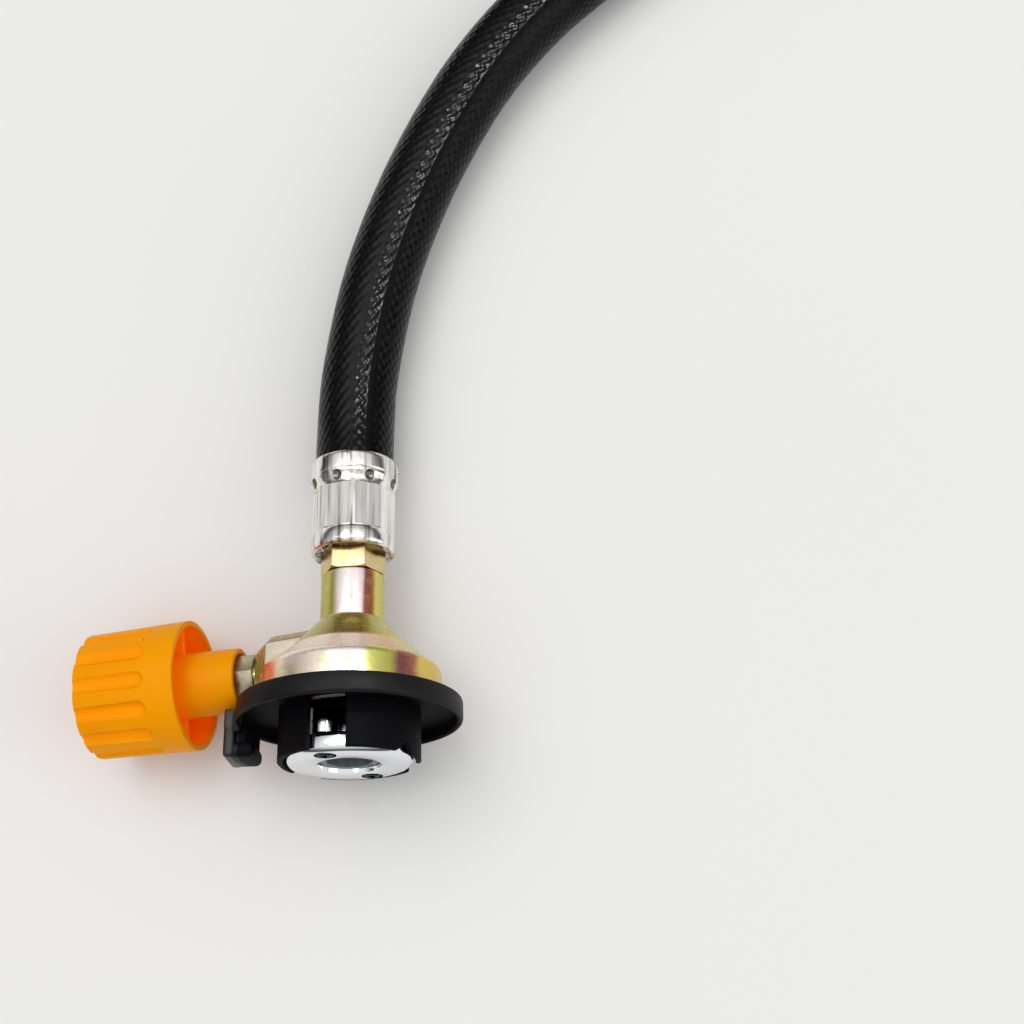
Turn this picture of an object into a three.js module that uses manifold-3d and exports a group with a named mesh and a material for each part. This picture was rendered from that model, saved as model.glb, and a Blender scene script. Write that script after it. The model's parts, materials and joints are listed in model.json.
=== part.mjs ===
// Gas regulator with lock ring, control knob and hose, lying on its side on a table.
// Millimetres. +Z is up and z = 0 is the table; the hose leaves the regulator towards +Y.
//
// Regulator frame: its Y is the regulator's axis, from the canister side towards the hose, and
// y = 0 is the front edge of the lock ring. Stations along it are named "...At".
// Valve frame: its Y is the knob's axis, outward from the regulator's axis.
import * as THREE from 'three';
import { mergeVertices } from 'three/addons/utils/BufferGeometryUtils.js';
import Module from 'manifold-3d';

const wasm = await Module();
wasm.setup();

// ---------------------------------------------------------------- clearances
const seatGap = 0.3; // between pieces that rest on or are fixed to each other
const turnGap = 0.35; // between pieces that turn or slide past each other
const sealGap = 0.1; // between a seal ring and the shaft in it

// ---------------------------------------------------------------- how it lies
const tilt = 12.2; // degrees that the hose end points down
const yaw = 1.87; // degrees that the hose end points left
const valveLean = 2.2; // degrees that the knob leans towards the canister side

// ---------------------------------------------------------------- lock ring
const ringRadius = 20.2;
const ringWall = 1.1;
const ringHeight = 3.75;
const ringFloor = 1.4;
const clawWall = 1.0;
const clawReach = 7.2; // in front of the ring's front edge
const clawGaps = [102.5, 222.5, 337.5]; // degrees round from +X, towards +Z
const clawGapWidth = 32; // degrees
const tabReach = 22.3; // from the axis to the finger tab's outer face
const tabWidth = 9;
const tabInnerReach = 16.7; // from the axis to the tab's inner face
const tabWall = 1.5;
const tabTop = 3.15; // how far the tab stands behind the ring's front edge
const tabEnd = 5.5; // how far it stands in front of it
const fingerHeight = 2.8;
const notchDepth = 2.4; // of the claw's cut corner
const notchAngle = 33; // degrees round from +X, towards +Z

// ---------------------------------------------------------------- nozzle plate
const plateRadius = 11.3;
const plateThickness = 3.4;
const plateChamfer = 0.9;
const nozzleHole = 5.6; // radius
const nozzleLip = 0.6; // thickness of the lip that holds the gasket
const gasketWidth = 1.2;
const gasketThickness = 1.7;
const screwCircle = 8.6; // radius of the circle that the plate's screws stand on
const screwAngles = [112, 292];
const screwRadius = 1.2;
const screwHead = 1.65;
const screwHeadThickness = 1.2;
const screwRecess = 2.2;

// ---------------------------------------------------------------- front flange and cover
const flangeThickness = 1.4;
const hubRadius = 6.6;
const postRadius = 2.3;
const bossRadius = 10.6; // what the lock ring turns on
const coverRadius = 14.9;
const coverThickness = 1.65;
const coverBore = 6.4;
const plateRecess = 1.1; // depth of the cover's recess for the diaphragm plate

// ---------------------------------------------------------------- body
const rimRadius = 16.4;
const rimHeight = 5.15;
const rimEdge = 0.8; // radius of the rim's edge
const coneRadius = 11.6;
const coneAt = 12.95;
const neckRadius = 5.85;
const neckFootAt = 19.2;
const neckEndAt = 28.0;
const outletBore = 1.9;
const socketRadius = 4.1;
const socketDepth = 7.2;
const chamberRadius = 13.2;
const chamberDepth = 0.8;

// ---------------------------------------------------------------- pressure stage
const diaphragmThickness = 0.4;
const diaphragmRib = 0.45; // how far its rolled rib stands up
const diaphragmPlateRadius = 9.0;
const diaphragmPlateThickness = 0.5;
const stemRadius = 1.5;
const stemBore = 0.6;
const stemHeadRadius = 2.5;
const padRadius = 1.8;
const padThickness = 0.6;
const nozzleTipGap = 0.5; // how far the pad stands open
const seatRadius = 4.7;
const seatThickness = 1.3;
const tipReach = 0.5; // of the orifice's tip behind the seat
const probeRadius = 1.6;
const probeReach = 1.4;
const springRadius = 4.3;
const springWire = 0.25; // radius
const springTurns = 2;
const springSeatThickness = 0.4;

// ---------------------------------------------------------------- control valve
const valveAt = 10.66; // where the knob's axis meets the regulator's axis
const valveBossWidth = 15.4; // along the regulator's axis
const valveBossHeight = 14;
const valveBossChamfer = 2.8;
const valveBossEnd = 16.2;
const valveSeatBore = 1.0;
const valvePassage = 1.85;
const spindleRadius = 1.5;
const spindleOuterRadius = 2.0;
const glandBore = 3.2;
const glandHeadRadius = 4.9; // across the hexagon's corners
const glandHeadThickness = 3.3;
const glandDepth = 2.9; // of the gland's bore

// ---------------------------------------------------------------- knob
const knobOpenAt = 29.4;
const knobEndAt = 48.25;
const knobOpenRadius = 11.98;
const knobEndRadius = 11.5;
const knobWall = 1.0;
const knobEndWall = 2.0;
const hubMouthAt = 20.5;
const hubMouthRadius = 5.8;
const hubRootRadius = 6.3;
const hubBore = 4.75;
const hubBoreDepth = 6.5;
const fluteCount = 14;
const fluteRadius = 1.9;
const fluteDepth = 0.55;
const fluteTurn = 132.2; // degrees of one flute round from the knob's own +X, towards its +Z
const fluteLength = 13.4; // from the closed end
const ribThickness = 1.0;
const ribTurn = 21; // degrees of one rib round from the knob's own +X, towards its +Z

// ---------------------------------------------------------------- hose and fittings
const hoseRadius = 7.5;
const hoseBore = 4.0;
const tableGap = 0.01; // under the hose
const hexRadius = 6.1; // across the corners
const hexHeight = 5.0;
const hexTurn = 21.5; // degrees round its axis
const ferruleAt = 32.3; // front edge of the ferrule in the regulator frame
const ferruleLength = 18.6;
const bellRadius = 8.05;
const crownRadius = 8.5;
const waistRadius = 7.8;
const crimpFlat = 7.35; // from the axis to each of the crimped flats
const crimpCount = 8;
const crimpTurn = 27.5; // degrees of one crimped flat round from +X, towards -Z
const crimpFrom = 3.2; // the crimped flats' ends, from the ferrule's front edge
const crimpTo = 12.8;
const bellEnd = 2.3;
const crownFrom = 14.9;
const ferruleWall = 1.05;
const nippleRadius = 3.6;
const stemGroove = 4.2; // radius of the stem where the ferrule's lip grips it
const gasBore = 2.2;
const nutAcrossFlats = 19;
const nutLength = 18;
const nutThread = 7.5; // radius of the nut's threaded bore
const nutTube = 4.6; // radius of the stem inside the nut
const flareRadius = 6.9;

// The route is from the ferrule's mouth: x, y, and how much is left of the height to come down.
const hoseRoute = [
  [0, 0, 1], [-0.1, 4, 0.63], [-0.1, 9, 0.33], [0.2, 16.9, 0.08], [1.7, 27.8, 0.02],
  [3.9, 38.6, 0.01], [7.4, 50.1, 0], [11.7, 61.2, 0], [17, 72, 0], [23.1, 82.4, 0], [30.1, 92.1, 0],
  [38, 101.1, 0], [46, 108.7, 0], [54.7, 116.9, 0], [63.5, 125.1, 0], [73.8, 134.7, 0],
  [84.7, 144.9, 0],
];
const runSteps = 16;
const coilInnerRadius = 66;
const turnPitch = 15.7; // from one turn of the coil to the next, sideways and upwards
const turnsIn = 1.96; // turns of the lower layer, spiralling in
const turnsOut = 0.45; // of the upper layer, spiralling out
const climb = 0.25; // turns before and after the reversal in which the hose climbs
const tailBend = 62;
const tailTurn = 83; // degrees of the last bend
const tailLift = 3.5; // the fitting's nut lies on the lower turns and lifts the hose this much
const stepsPerTurn = 24;

// ================================================================ finishes
const finish = (color, roughness, metalness) => new THREE.MeshStandardMaterial({ color, roughness, metalness });
const chromate = finish(0xd8c27a, 0.35, 0.9);
const nickel = finish(0xd5d6d8, 0.18, 1.0);
const tin = finish(0xc9c6c0, 0.3, 1.0);
const brass = finish(0xd9b65c, 0.3, 1.0);
const steel = finish(0xa9abad, 0.4, 1.0);
const blackPlastic = finish(0x16171a, 0.45, 0.0);
const orangePlastic = finish(0xf39a00, 0.4, 0.0);
const rubber = finish(0x0d0d0e, 0.6, 0.0);

// ================================================================ shaping
const radians = THREE.MathUtils.degToRad;

// A closed geometry as a solid that can be joined and cut.
function solid(geometry) {
  const bare = geometry.clone();
  bare.deleteAttribute('normal');
  bare.deleteAttribute('uv');
  const welded = mergeVertices(bare, 1e-4);
  const at = welded.attributes.position;
  const corners = [0, 1, 2].map(() => new THREE.Vector3());
  const faces = [];
  let volume = 0;
  for (let i = 0; i < welded.index.count; i += 3) {
    const face = [0, 1, 2].map((k) => welded.index.getX(i + k));
    if (new Set(face).size < 3) continue;
    faces.push(...face);
    corners.forEach((corner, k) => corner.fromBufferAttribute(at, face[k]));
    volume += corners[0].dot(corners[1].clone().cross(corners[2]));
  }
  if (volume < 0) faces.reverse();
  return new wasm.Manifold(new wasm.Mesh({
    numProp: 3,
    vertProperties: new Float32Array(at.array),
    triVerts: new Uint32Array(faces),
  }));
}

function join(...shapes) {
  return shapes.reduce((all, next) => all.add(next));
}

function cut(shape, ...tools) {
  return tools.reduce((left, tool) => left.subtract(tool), shape);
}

// A solid of revolution about Y from [radius, y] pairs.
function turned(outline, sides = 48, frame = null) {
  const points = outline.map(([r, y]) => new THREE.Vector2(r, y));
  if (outline[0][0] > 0 || outline.at(-1)[0] > 0) points.push(points[0].clone());
  const geometry = new THREE.LatheGeometry(points, sides);
  return solid(frame ? geometry.applyMatrix4(frame) : geometry);
}

// A plain ring or disc about Y.
function disc(outer, inner, from, to, sides = 48, frame = null) {
  const outline = [[inner, from], [outer, from], [outer, to], [inner, to]];
  return turned(outline, sides, frame);
}

// A rod parallel to Y at a distance from the axis, at an angle round from +X towards +Z.
function rod(radius, from, to, away = 0, angle = 0, sides = 16) {
  const geometry = new THREE.CylinderGeometry(radius, radius, to - from, sides);
  const turn = radians(angle);
  geometry.translate(away * Math.cos(turn), (from + to) / 2, away * Math.sin(turn));
  return solid(geometry);
}

function block(low, high, frame = null) {
  const size = high.map((value, k) => value - low[k]);
  const geometry = new THREE.BoxGeometry(...size);
  geometry.translate(...low.map((value, k) => value + size[k] / 2));
  return solid(frame ? geometry.applyMatrix4(frame) : geometry);
}

// A flat outline of [x, z] pairs, thickened along Y.
function slab(outline, from, to, frame = null) {
  const shape = new THREE.Shape(outline.map(([x, z]) => new THREE.Vector2(x, z)));
  const geometry = new THREE.ExtrudeGeometry(shape, { depth: to - from, bevelEnabled: false });
  geometry.rotateX(Math.PI / 2).translate(0, to, 0);
  return solid(frame ? geometry.applyMatrix4(frame) : geometry);
}

// A hexagonal bar about Y.
function hexagon(cornerRadius, from, to, turn = 0) {
  const geometry = new THREE.CylinderGeometry(cornerRadius, cornerRadius, to - from, 6);
  return solid(geometry.rotateY(radians(turn)).translate(0, (from + to) / 2, 0));
}

// A wedge of a disc, centred on an angle.
function sector(radius, angle, width, from, to) {
  const reach = radius / Math.cos(radians(width / 2));
  const edge = (turn) => [reach * Math.cos(radians(turn)), reach * Math.sin(radians(turn))];
  return slab([[0, 0], edge(angle - width / 2), edge(angle + width / 2)], from, to);
}

// A tube with closed ends along a row of centres. One corner of its section points along up.
function tube(centres, radius, sides, up, ends = {}) {
  const positions = [];
  const last = centres.length - 1;
  centres.forEach((centre, i) => {
    const along = centres[Math.min(i + 1, last)].clone().sub(centres[Math.max(i - 1, 0)]);
    if (i === 0 && ends.first) along.copy(ends.first);
    if (i === last && ends.last) along.copy(ends.last);
    const side = along.clone().cross(up).normalize();
    const top = side.clone().cross(along).normalize();
    for (let k = 0; k < sides; k += 1) {
      const turn = Math.PI / 2 + (2 * Math.PI * k) / sides;
      const point = centre.clone().addScaledVector(side, radius * Math.cos(turn));
      positions.push(...point.addScaledVector(top, radius * Math.sin(turn)));
    }
  });
  const faces = [];
  for (let i = 0; i < last; i += 1) {
    for (let k = 0; k < sides; k += 1) {
      const [a, b] = [i * sides + k, i * sides + ((k + 1) % sides)];
      faces.push(a, b, b + sides, a, b + sides, a + sides);
    }
  }
  for (let k = 1; k < sides - 1; k += 1) {
    faces.push(0, k + 1, k);
    faces.push(last * sides, last * sides + k, last * sides + k + 1);
  }
  const geometry = new THREE.BufferGeometry();
  geometry.setAttribute('position', new THREE.Float32BufferAttribute(positions, 3));
  geometry.setIndex(faces);
  return solid(geometry);
}

function piece(name, shape, material) {
  const { vertProperties, triVerts } = shape.getMesh();
  const geometry = new THREE.BufferGeometry();
  geometry.setAttribute('position', new THREE.BufferAttribute(vertProperties, 3));
  geometry.setIndex(new THREE.BufferAttribute(triVerts, 1));
  geometry.computeVertexNormals();
  const mesh = new THREE.Mesh(geometry, material);
  mesh.name = name;
  return mesh;
}

// ================================================================ stations and frames
const plateBackAt = -(clawReach + 0.4) + plateThickness;
const plateFrontAt = plateBackAt - plateThickness;
const hubFrontAt = plateBackAt + seatGap;
const floorFrontAt = ringHeight - ringFloor;
const flangeBackAt = floorFrontAt - 0.6;
const flangeFrontAt = flangeBackAt - flangeThickness;
const coverFrontAt = flangeBackAt + seatGap;
const bodyFrontAt = ringHeight + turnGap;
const coverBackAt = bodyFrontAt + coverThickness;
const recessAt = coverBackAt - plateRecess;
const diaphragmAt = coverBackAt + seatGap;
const diaphragmBackAt = diaphragmAt + diaphragmThickness;
const ledgeAt = diaphragmBackAt + seatGap;
const chamberEndAt = ledgeAt + chamberDepth;
const rimTopAt = bodyFrontAt + rimHeight;

// The ring's back edge and the hose's ferrule both come down to the table.
const axisHeight = ringRadius * Math.cos(radians(tilt)) + ringHeight * Math.sin(radians(tilt));
const regulatorFrame = new THREE.Matrix4()
  .makeTranslation(0, 0, axisHeight)
  .multiply(new THREE.Matrix4().makeRotationZ(radians(yaw)))
  .multiply(new THREE.Matrix4().makeRotationX(radians(-tilt)));

// The knob's axis drops just enough for the closed end's edge to lie on the table.
function valveDirection() {
  const [c, s] = [Math.cos(radians(tilt)), Math.sin(radians(tilt))];
  const startHeight = axisHeight - valveAt * s;
  let drop = 0;
  for (let i = 0; i < 20; i += 1) {
    drop = (startHeight - knobEndRadius * Math.sqrt(1 - drop * drop)) / knobEndAt;
  }
  const lean = Math.sin(radians(valveLean));
  const down = (drop + lean * s) / c;
  return new THREE.Vector3(-Math.sqrt(1 - lean * lean - down * down), -lean, -down);
}
const valveFrame = new THREE.Matrix4()
  .makeTranslation(0, valveAt, 0)
  .multiply(new THREE.Matrix4().makeRotationFromQuaternion(
    new THREE.Quaternion().setFromUnitVectors(new THREE.Vector3(0, 1, 0), valveDirection()),
  ));
const seatEndAt = 5; // where the valve's seat opens into its passage
const glandFrom = valveBossEnd - glandDepth;

// ================================================================ regulator body
// A square block with cut corners about the valve's axis.
function valveBoss() {
  const [width, height] = [valveBossWidth / 2, valveBossHeight / 2];
  const [flatWidth, flatHeight] = [width - valveBossChamfer, height - valveBossChamfer];
  const section = [
    [-width, -flatHeight], [-flatWidth, -height], [flatWidth, -height], [width, -flatHeight],
    [width, flatHeight], [flatWidth, height], [-flatWidth, height], [-width, flatHeight],
  ];
  return slab(section, outletBore, valveBossEnd, valveFrame);
}

function bodyHousing() {
  const neckCurve = new THREE.QuadraticBezierCurve(
    new THREE.Vector2(coneRadius, coneAt),
    new THREE.Vector2((coneRadius + 2 * neckRadius) / 3, coneAt + (neckFootAt - coneAt) * 0.64),
    new THREE.Vector2(neckRadius, neckFootAt),
  ).getPoints(6).map((point) => [point.x, point.y]);
  const outer = turned([
    [0, bodyFrontAt], [rimRadius - 0.3, bodyFrontAt], [rimRadius, bodyFrontAt + 0.3],
    [rimRadius, rimTopAt - rimEdge], [rimRadius - 0.3 * rimEdge, rimTopAt - 0.3 * rimEdge],
    [rimRadius - rimEdge, rimTopAt + 0.3 * rimEdge],
    ...neckCurve, [neckRadius, neckEndAt - 0.4], [neckRadius - 0.4, neckEndAt], [0, neckEndAt],
  ], 48);
  const beyond = 2 * rimRadius;
  const belowRim = block([-beyond, bodyFrontAt - beyond, -beyond], [0, bodyFrontAt, beyond]);
  const socket = rod(socketRadius, neckEndAt - socketDepth, neckEndAt + 1, 0, 0, 24);
  const outlet = rod(outletBore, valveAt - valveSeatBore, neckEndAt - socketDepth + 1, 0, 0, 16);
  const coverSeat = rod(coverRadius + seatGap, bodyFrontAt - 1, ledgeAt, 0, 0, 48);
  const chamber = rod(chamberRadius, ledgeAt - 1, chamberEndAt, 0, 0, 48);
  const valveBores = [
    disc(valveSeatBore, 0, 0.5, seatEndAt + 1, 16, valveFrame),
    disc(valvePassage, 0, seatEndAt, glandFrom + 1, 20, valveFrame),
    disc(glandBore, 0, glandFrom, valveBossEnd + 1, 24, valveFrame),
  ];
  const port = rod(0.8, chamberEndAt - 1, valveAt, 9, 180, 12);
  return cut(join(outer, cut(valveBoss(), belowRim)), socket, outlet, coverSeat, chamber, port, ...valveBores);
}

// ================================================================ canister side
function nozzlePlate() {
  const plate = turned([
    [nozzleHole, plateFrontAt + 0.3], [nozzleHole + 0.3, plateFrontAt],
    [plateRadius - plateChamfer, plateFrontAt], [plateRadius, plateFrontAt + plateChamfer],
    [plateRadius, plateBackAt - 0.3], [plateRadius - 0.3, plateBackAt],
    [nozzleHole - 0.8, plateBackAt], [nozzleHole - 0.8, plateBackAt - nozzleLip],
    [nozzleHole, plateBackAt - nozzleLip],
  ], 48);
  const holes = screwAngles.flatMap((angle) => [
    rod(screwRadius + seatGap, plateFrontAt - 1, plateBackAt + 1, screwCircle, angle),
    rod(screwHead + seatGap, plateFrontAt - 1, plateFrontAt + screwRecess, screwCircle, angle, 20),
  ]);
  return cut(plate, ...holes);
}

function nozzleGasket() {
  const back = plateBackAt - nozzleLip - seatGap;
  return disc(nozzleHole - seatGap, nozzleHole - seatGap - gasketWidth, back - gasketThickness, back, 32);
}

function plateScrew(angle) {
  const under = plateFrontAt + screwRecess - seatGap;
  const head = rod(screwHead, under - screwHeadThickness, under, screwCircle, angle, 20);
  const shank = rod(screwRadius, under - 0.2, recessAt - seatGap, screwCircle, angle, 12);
  const slot = screwHead / 4;
  const turn = radians(angle);
  const [x, z] = [screwCircle * Math.cos(turn), screwCircle * Math.sin(turn)];
  const drive = block(
    [x - screwHead, under - screwHeadThickness - 1, z - slot],
    [x + screwHead, under - screwHeadThickness * 0.55, z + slot],
  );
  return cut(join(head, shank), drive);
}

function frontFlange() {
  const disk = disc(plateRadius, 0, flangeFrontAt, flangeBackAt, 36);
  const hub = disc(hubRadius, 0, hubFrontAt, flangeFrontAt + 0.5, 24);
  const posts = screwAngles.map((angle) => rod(postRadius, hubFrontAt, flangeFrontAt + 0.5, screwCircle, angle, 20));
  const seatPocket = rod(seatRadius + seatGap, hubFrontAt - 1, hubFrontAt + seatThickness + seatGap, 0, 0, 24);
  const padChamber = rod(stemHeadRadius + 0.6, hubFrontAt, flangeBackAt - 1.1, 0, 0, 24);
  const stemHole = rod(stemRadius + turnGap, hubFrontAt, flangeBackAt + 1, 0, 0, 20);
  const sealPocket = rod(stemRadius + 1.3, flangeBackAt - 1.1 + 0.001, flangeBackAt + 1, 0, 0, 24);
  const screwHoles = screwAngles.map((angle) => (
    rod(screwRadius + seatGap, hubFrontAt - 1, flangeBackAt + 1, screwCircle, angle, 16)
  ));
  const shaped = cut(join(disk, hub, ...posts), seatPocket, stemHole, sealPocket, ...screwHoles);
  return cut(shaped, padChamber.intersect(rod(10, hubFrontAt, flangeBackAt - 1.5, 0, 0, 12)));
}

function chamberCover() {
  const shell = turned([
    [coverBore, coverFrontAt], [bossRadius, coverFrontAt], [bossRadius, bodyFrontAt],
    [coverRadius, bodyFrontAt], [coverRadius, coverBackAt], [diaphragmPlateRadius + 0.6, coverBackAt],
    [diaphragmPlateRadius + 0.6, recessAt], [coverBore, recessAt],
  ], 48);
  const screwHoles = screwAngles.map((angle) => (
    rod(screwRadius + seatGap, coverFrontAt - 1, recessAt + 1, screwCircle, angle, 16)
  ));
  const breather = rod(0.5, bodyFrontAt - 1, coverBackAt + 1, 12, 60, 10);
  return cut(shell, breather, ...screwHoles);
}

const tipAt = hubFrontAt + seatThickness + tipReach;
function inletSeat() {
  const front = hubFrontAt;
  const back = hubFrontAt + seatThickness;
  return turned([
    [0.5, front - probeReach], [probeRadius - 0.3, front - probeReach], [probeRadius, front - probeReach + 0.5],
    [probeRadius, front], [seatRadius, front], [seatRadius, back], [1.6, back], [1.2, tipAt], [0.5, tipAt],
  ], 28);
}

// ================================================================ pressure stage
const padAt = tipAt + nozzleTipGap;
const stemFrontAt = padAt + seatGap;
const stemHeadBackAt = stemFrontAt + 1.0;
const stemBackAt = chamberEndAt - 0.4;
const springSeatAt = coverFrontAt;
const springFrom = springSeatAt + springSeatThickness + seatGap;
const diaphragmPlateAt = coverBackAt - diaphragmPlateThickness - 0.05;

function seatPad() {
  return disc(padRadius, 0, padAt, padAt + padThickness, 20);
}

function flowStem() {
  const body = turned([
    [padRadius + seatGap, stemFrontAt], [stemHeadRadius, stemFrontAt], [stemHeadRadius, stemHeadBackAt],
    [stemRadius, stemHeadBackAt + 0.4], [stemRadius, stemBackAt], [stemBore, stemBackAt],
    [stemBore, stemHeadBackAt], [0, stemHeadBackAt],
    [0, padAt + padThickness + seatGap], [padRadius + seatGap, padAt + padThickness + seatGap],
  ], 20);
  const crossHole = solid(new THREE.CylinderGeometry(0.35, 0.35, 8, 8)
    .rotateZ(Math.PI / 2).translate(0, stemHeadBackAt + 0.15, 0));
  return cut(body, crossHole);
}

// A seal ring of round section about Y.
function sealRing(innerRadius, thickness, at, sides = 20) {
  const radius = thickness / 2;
  const outline = Array.from({ length: 6 }, (_, k) => {
    const turn = (2 * Math.PI * k) / 6;
    return [innerRadius + radius + radius * Math.cos(turn), at + radius * Math.sin(turn)];
  });
  return turned(outline, sides);
}

function springSeat() {
  return disc(coverBore - 0.8, stemRadius + seatGap, springSeatAt, springSeatAt + springSeatThickness, 28);
}

function pressureSpring() {
  const to = diaphragmPlateAt - seatGap - springWire;
  const from = springFrom + springWire;
  const steps = Math.round(springTurns * 12);
  const centres = Array.from({ length: steps + 1 }, (_, i) => {
    const turn = (2 * Math.PI * springTurns * i) / steps;
    return new THREE.Vector3(
      springRadius * Math.cos(turn), from + ((to - from) * i) / steps, springRadius * Math.sin(turn),
    );
  });
  return tube(centres, springWire, 6, new THREE.Vector3(0, 1, 0));
}

function diaphragm() {
  const inner = stemRadius + seatGap;
  const [rise, from, to] = [diaphragmRib, diaphragmPlateRadius + 1, chamberRadius - 0.7];
  const middle = (from + to) / 2;
  return turned([
    [inner, diaphragmAt], [from, diaphragmAt], [middle, diaphragmAt + rise], [to, diaphragmAt],
    [coverRadius - 0.3, diaphragmAt], [coverRadius - 0.3, diaphragmBackAt], [to, diaphragmBackAt],
    [middle, diaphragmBackAt + rise], [from, diaphragmBackAt], [inner, diaphragmBackAt],
  ], 32);
}

function diaphragmPlate() {
  const to = diaphragmPlateAt + diaphragmPlateThickness;
  return disc(diaphragmPlateRadius, stemRadius + seatGap, diaphragmPlateAt, to, 36);
}

function stemNut() {
  const from = diaphragmBackAt + seatGap;
  return cut(hexagon(2.9, from, from + 0.5), rod(stemRadius + seatGap, from - 1, from + 2, 0, 0, 20));
}

// ================================================================ control valve
const needleBackAt = 9.5;
const spindleAt = needleBackAt + seatGap;
function valveNeedle() {
  return turned([
    [0, 4.0], [0.3, 4.0], [1.15, 6.2], [spindleRadius, 6.4], [spindleRadius, needleBackAt],
    [0.5, needleBackAt], [0.5, needleBackAt + 1.4], [0, needleBackAt + 1.4],
  ], 16);
}

const spindleEndAt = 43;
const glandHeadAt = valveBossEnd + turnGap;
function spindle() {
  const step = glandHeadAt + glandHeadThickness + seatGap;
  return turned([
    [0.8, spindleAt], [spindleRadius, spindleAt], [spindleRadius, step], [spindleOuterRadius, step],
    [spindleOuterRadius, spindleEndAt - 0.4], [spindleOuterRadius - 0.4, spindleEndAt], [0, spindleEndAt],
    [0, needleBackAt + 2], [0.8, needleBackAt + 2],
  ], 20);
}

const spindleSealAt = glandFrom + 0.9;
const glandThreadAt = glandFrom + 1.8;
function glandNut() {
  const head = hexagon(glandHeadRadius, glandHeadAt, glandHeadAt + glandHeadThickness, 15);
  const thread = disc(glandBore - seatGap, 0, glandThreadAt, glandHeadAt + 0.2, 24);
  const bore = rod(spindleRadius + seatGap, glandThreadAt - 1, glandHeadAt + glandHeadThickness + 1, 0, 0, 20);
  return cut(join(head, thread), bore);
}

function knobRadius(at) {
  const share = (at - knobOpenAt) / (knobEndAt - knobOpenAt);
  return knobOpenRadius + (knobEndRadius - knobOpenRadius) * share;
}

function knob() {
  const insideAt = knobEndAt - knobEndWall;
  const edge = 0.8;
  const shell = turned([
    [0, insideAt - 0.5], [knobRadius(insideAt) - 1.6, insideAt - 0.5],
    [knobOpenRadius - knobWall, knobOpenAt], [knobOpenRadius - 0.25, knobOpenAt],
    [knobOpenRadius, knobOpenAt + 0.25], [knobRadius(knobEndAt - edge), knobEndAt - edge],
    [knobEndRadius - edge * 0.3, knobEndAt - edge * 0.3], [knobEndRadius - edge, knobEndAt], [0, knobEndAt],
  ], 54);
  const hub = turned([
    [0, hubMouthAt], [hubMouthRadius - 0.3, hubMouthAt], [hubMouthRadius, hubMouthAt + 0.3],
    [hubRootRadius, insideAt], [0, insideAt],
  ], 36);
  const flutes = Array.from({ length: fluteCount }, (_, k) => rod(
    fluteRadius, knobEndAt - fluteLength, knobEndAt + 1,
    knobEndRadius + fluteRadius - fluteDepth, fluteTurn + (360 * k) / fluteCount, 16,
  ));
  const ribAt = knobOpenAt + 2;
  const ribs = [ribTurn, ribTurn + 90].map((turn) => block(
    [-knobEndRadius + 0.8, ribAt, -ribThickness / 2], [knobEndRadius - 0.8, insideAt, ribThickness / 2],
    new THREE.Matrix4().makeRotationY(radians(-turn)),
  ));
  const mouth = rod(hubBore, hubMouthAt - 1, hubMouthAt + hubBoreDepth, 0, 0, 32);
  const spindleHole = rod(spindleOuterRadius + seatGap, hubMouthAt, spindleEndAt + seatGap, 0, 0, 20);
  return cut(join(shell, hub, ...ribs), mouth, spindleHole, ...flutes);
}

// ================================================================ lock ring
function lockRing() {
  const inside = ringRadius - ringWall;
  const clawInner = plateRadius + turnGap;
  const clawOuter = clawInner + clawWall;
  const cup = turned([
    [bossRadius + turnGap, floorFrontAt], [inside, floorFrontAt], [inside, 0.3], [inside + 0.3, 0],
    [ringRadius - 0.3, 0], [ringRadius, 0.3], [ringRadius, ringHeight], [bossRadius + turnGap, ringHeight],
  ], 52);
  const claws = disc(clawOuter, clawInner, -clawReach, floorFrontAt + 0.2, 48);
  const gaps = clawGaps.map((angle) => sector(clawOuter + 2, angle, clawGapWidth, -clawReach - 1, floorFrontAt));
  const notch = solid(new THREE.CylinderGeometry(notchDepth, notchDepth, 4, 4)
    .rotateZ(Math.PI / 2)
    .translate(clawOuter, -clawReach - 0.2, 0)
    .rotateY(radians(-notchAngle)));
  const half = tabWidth * 0.83;
  const [low, high] = [-half, tabWidth - half];
  const fingerTop = fingerHeight - tabEnd;
  const wall = block([-tabReach, -0.5, low], [-tabReach + tabWall, tabTop, high]);
  const grip = block([-tabReach, -tabEnd, low], [-tabReach + tabWall + 0.7, 0, high]);
  const finger = block([-tabReach + 1, -tabEnd, low], [-tabInnerReach, fingerTop, high]);
  const root = cut(
    block([-tabReach + 0.5, -1, low], [-ringRadius * 0.86, tabTop, high]),
    rod(inside + 0.2, -3, ringHeight + 1, 0, 0, 52),
  );
  const arm = cut(
    block([-tabReach + 1, fingerTop - 0.5, low], [-ringRadius * 0.86, 0.5, high - 1.2]),
    rod(inside - 0.4, -6, ringHeight + 1, 0, 0, 52),
  );
  return join(cup, cut(claws, notch, ...gaps), wall, grip, finger, root, arm);
}

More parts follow.
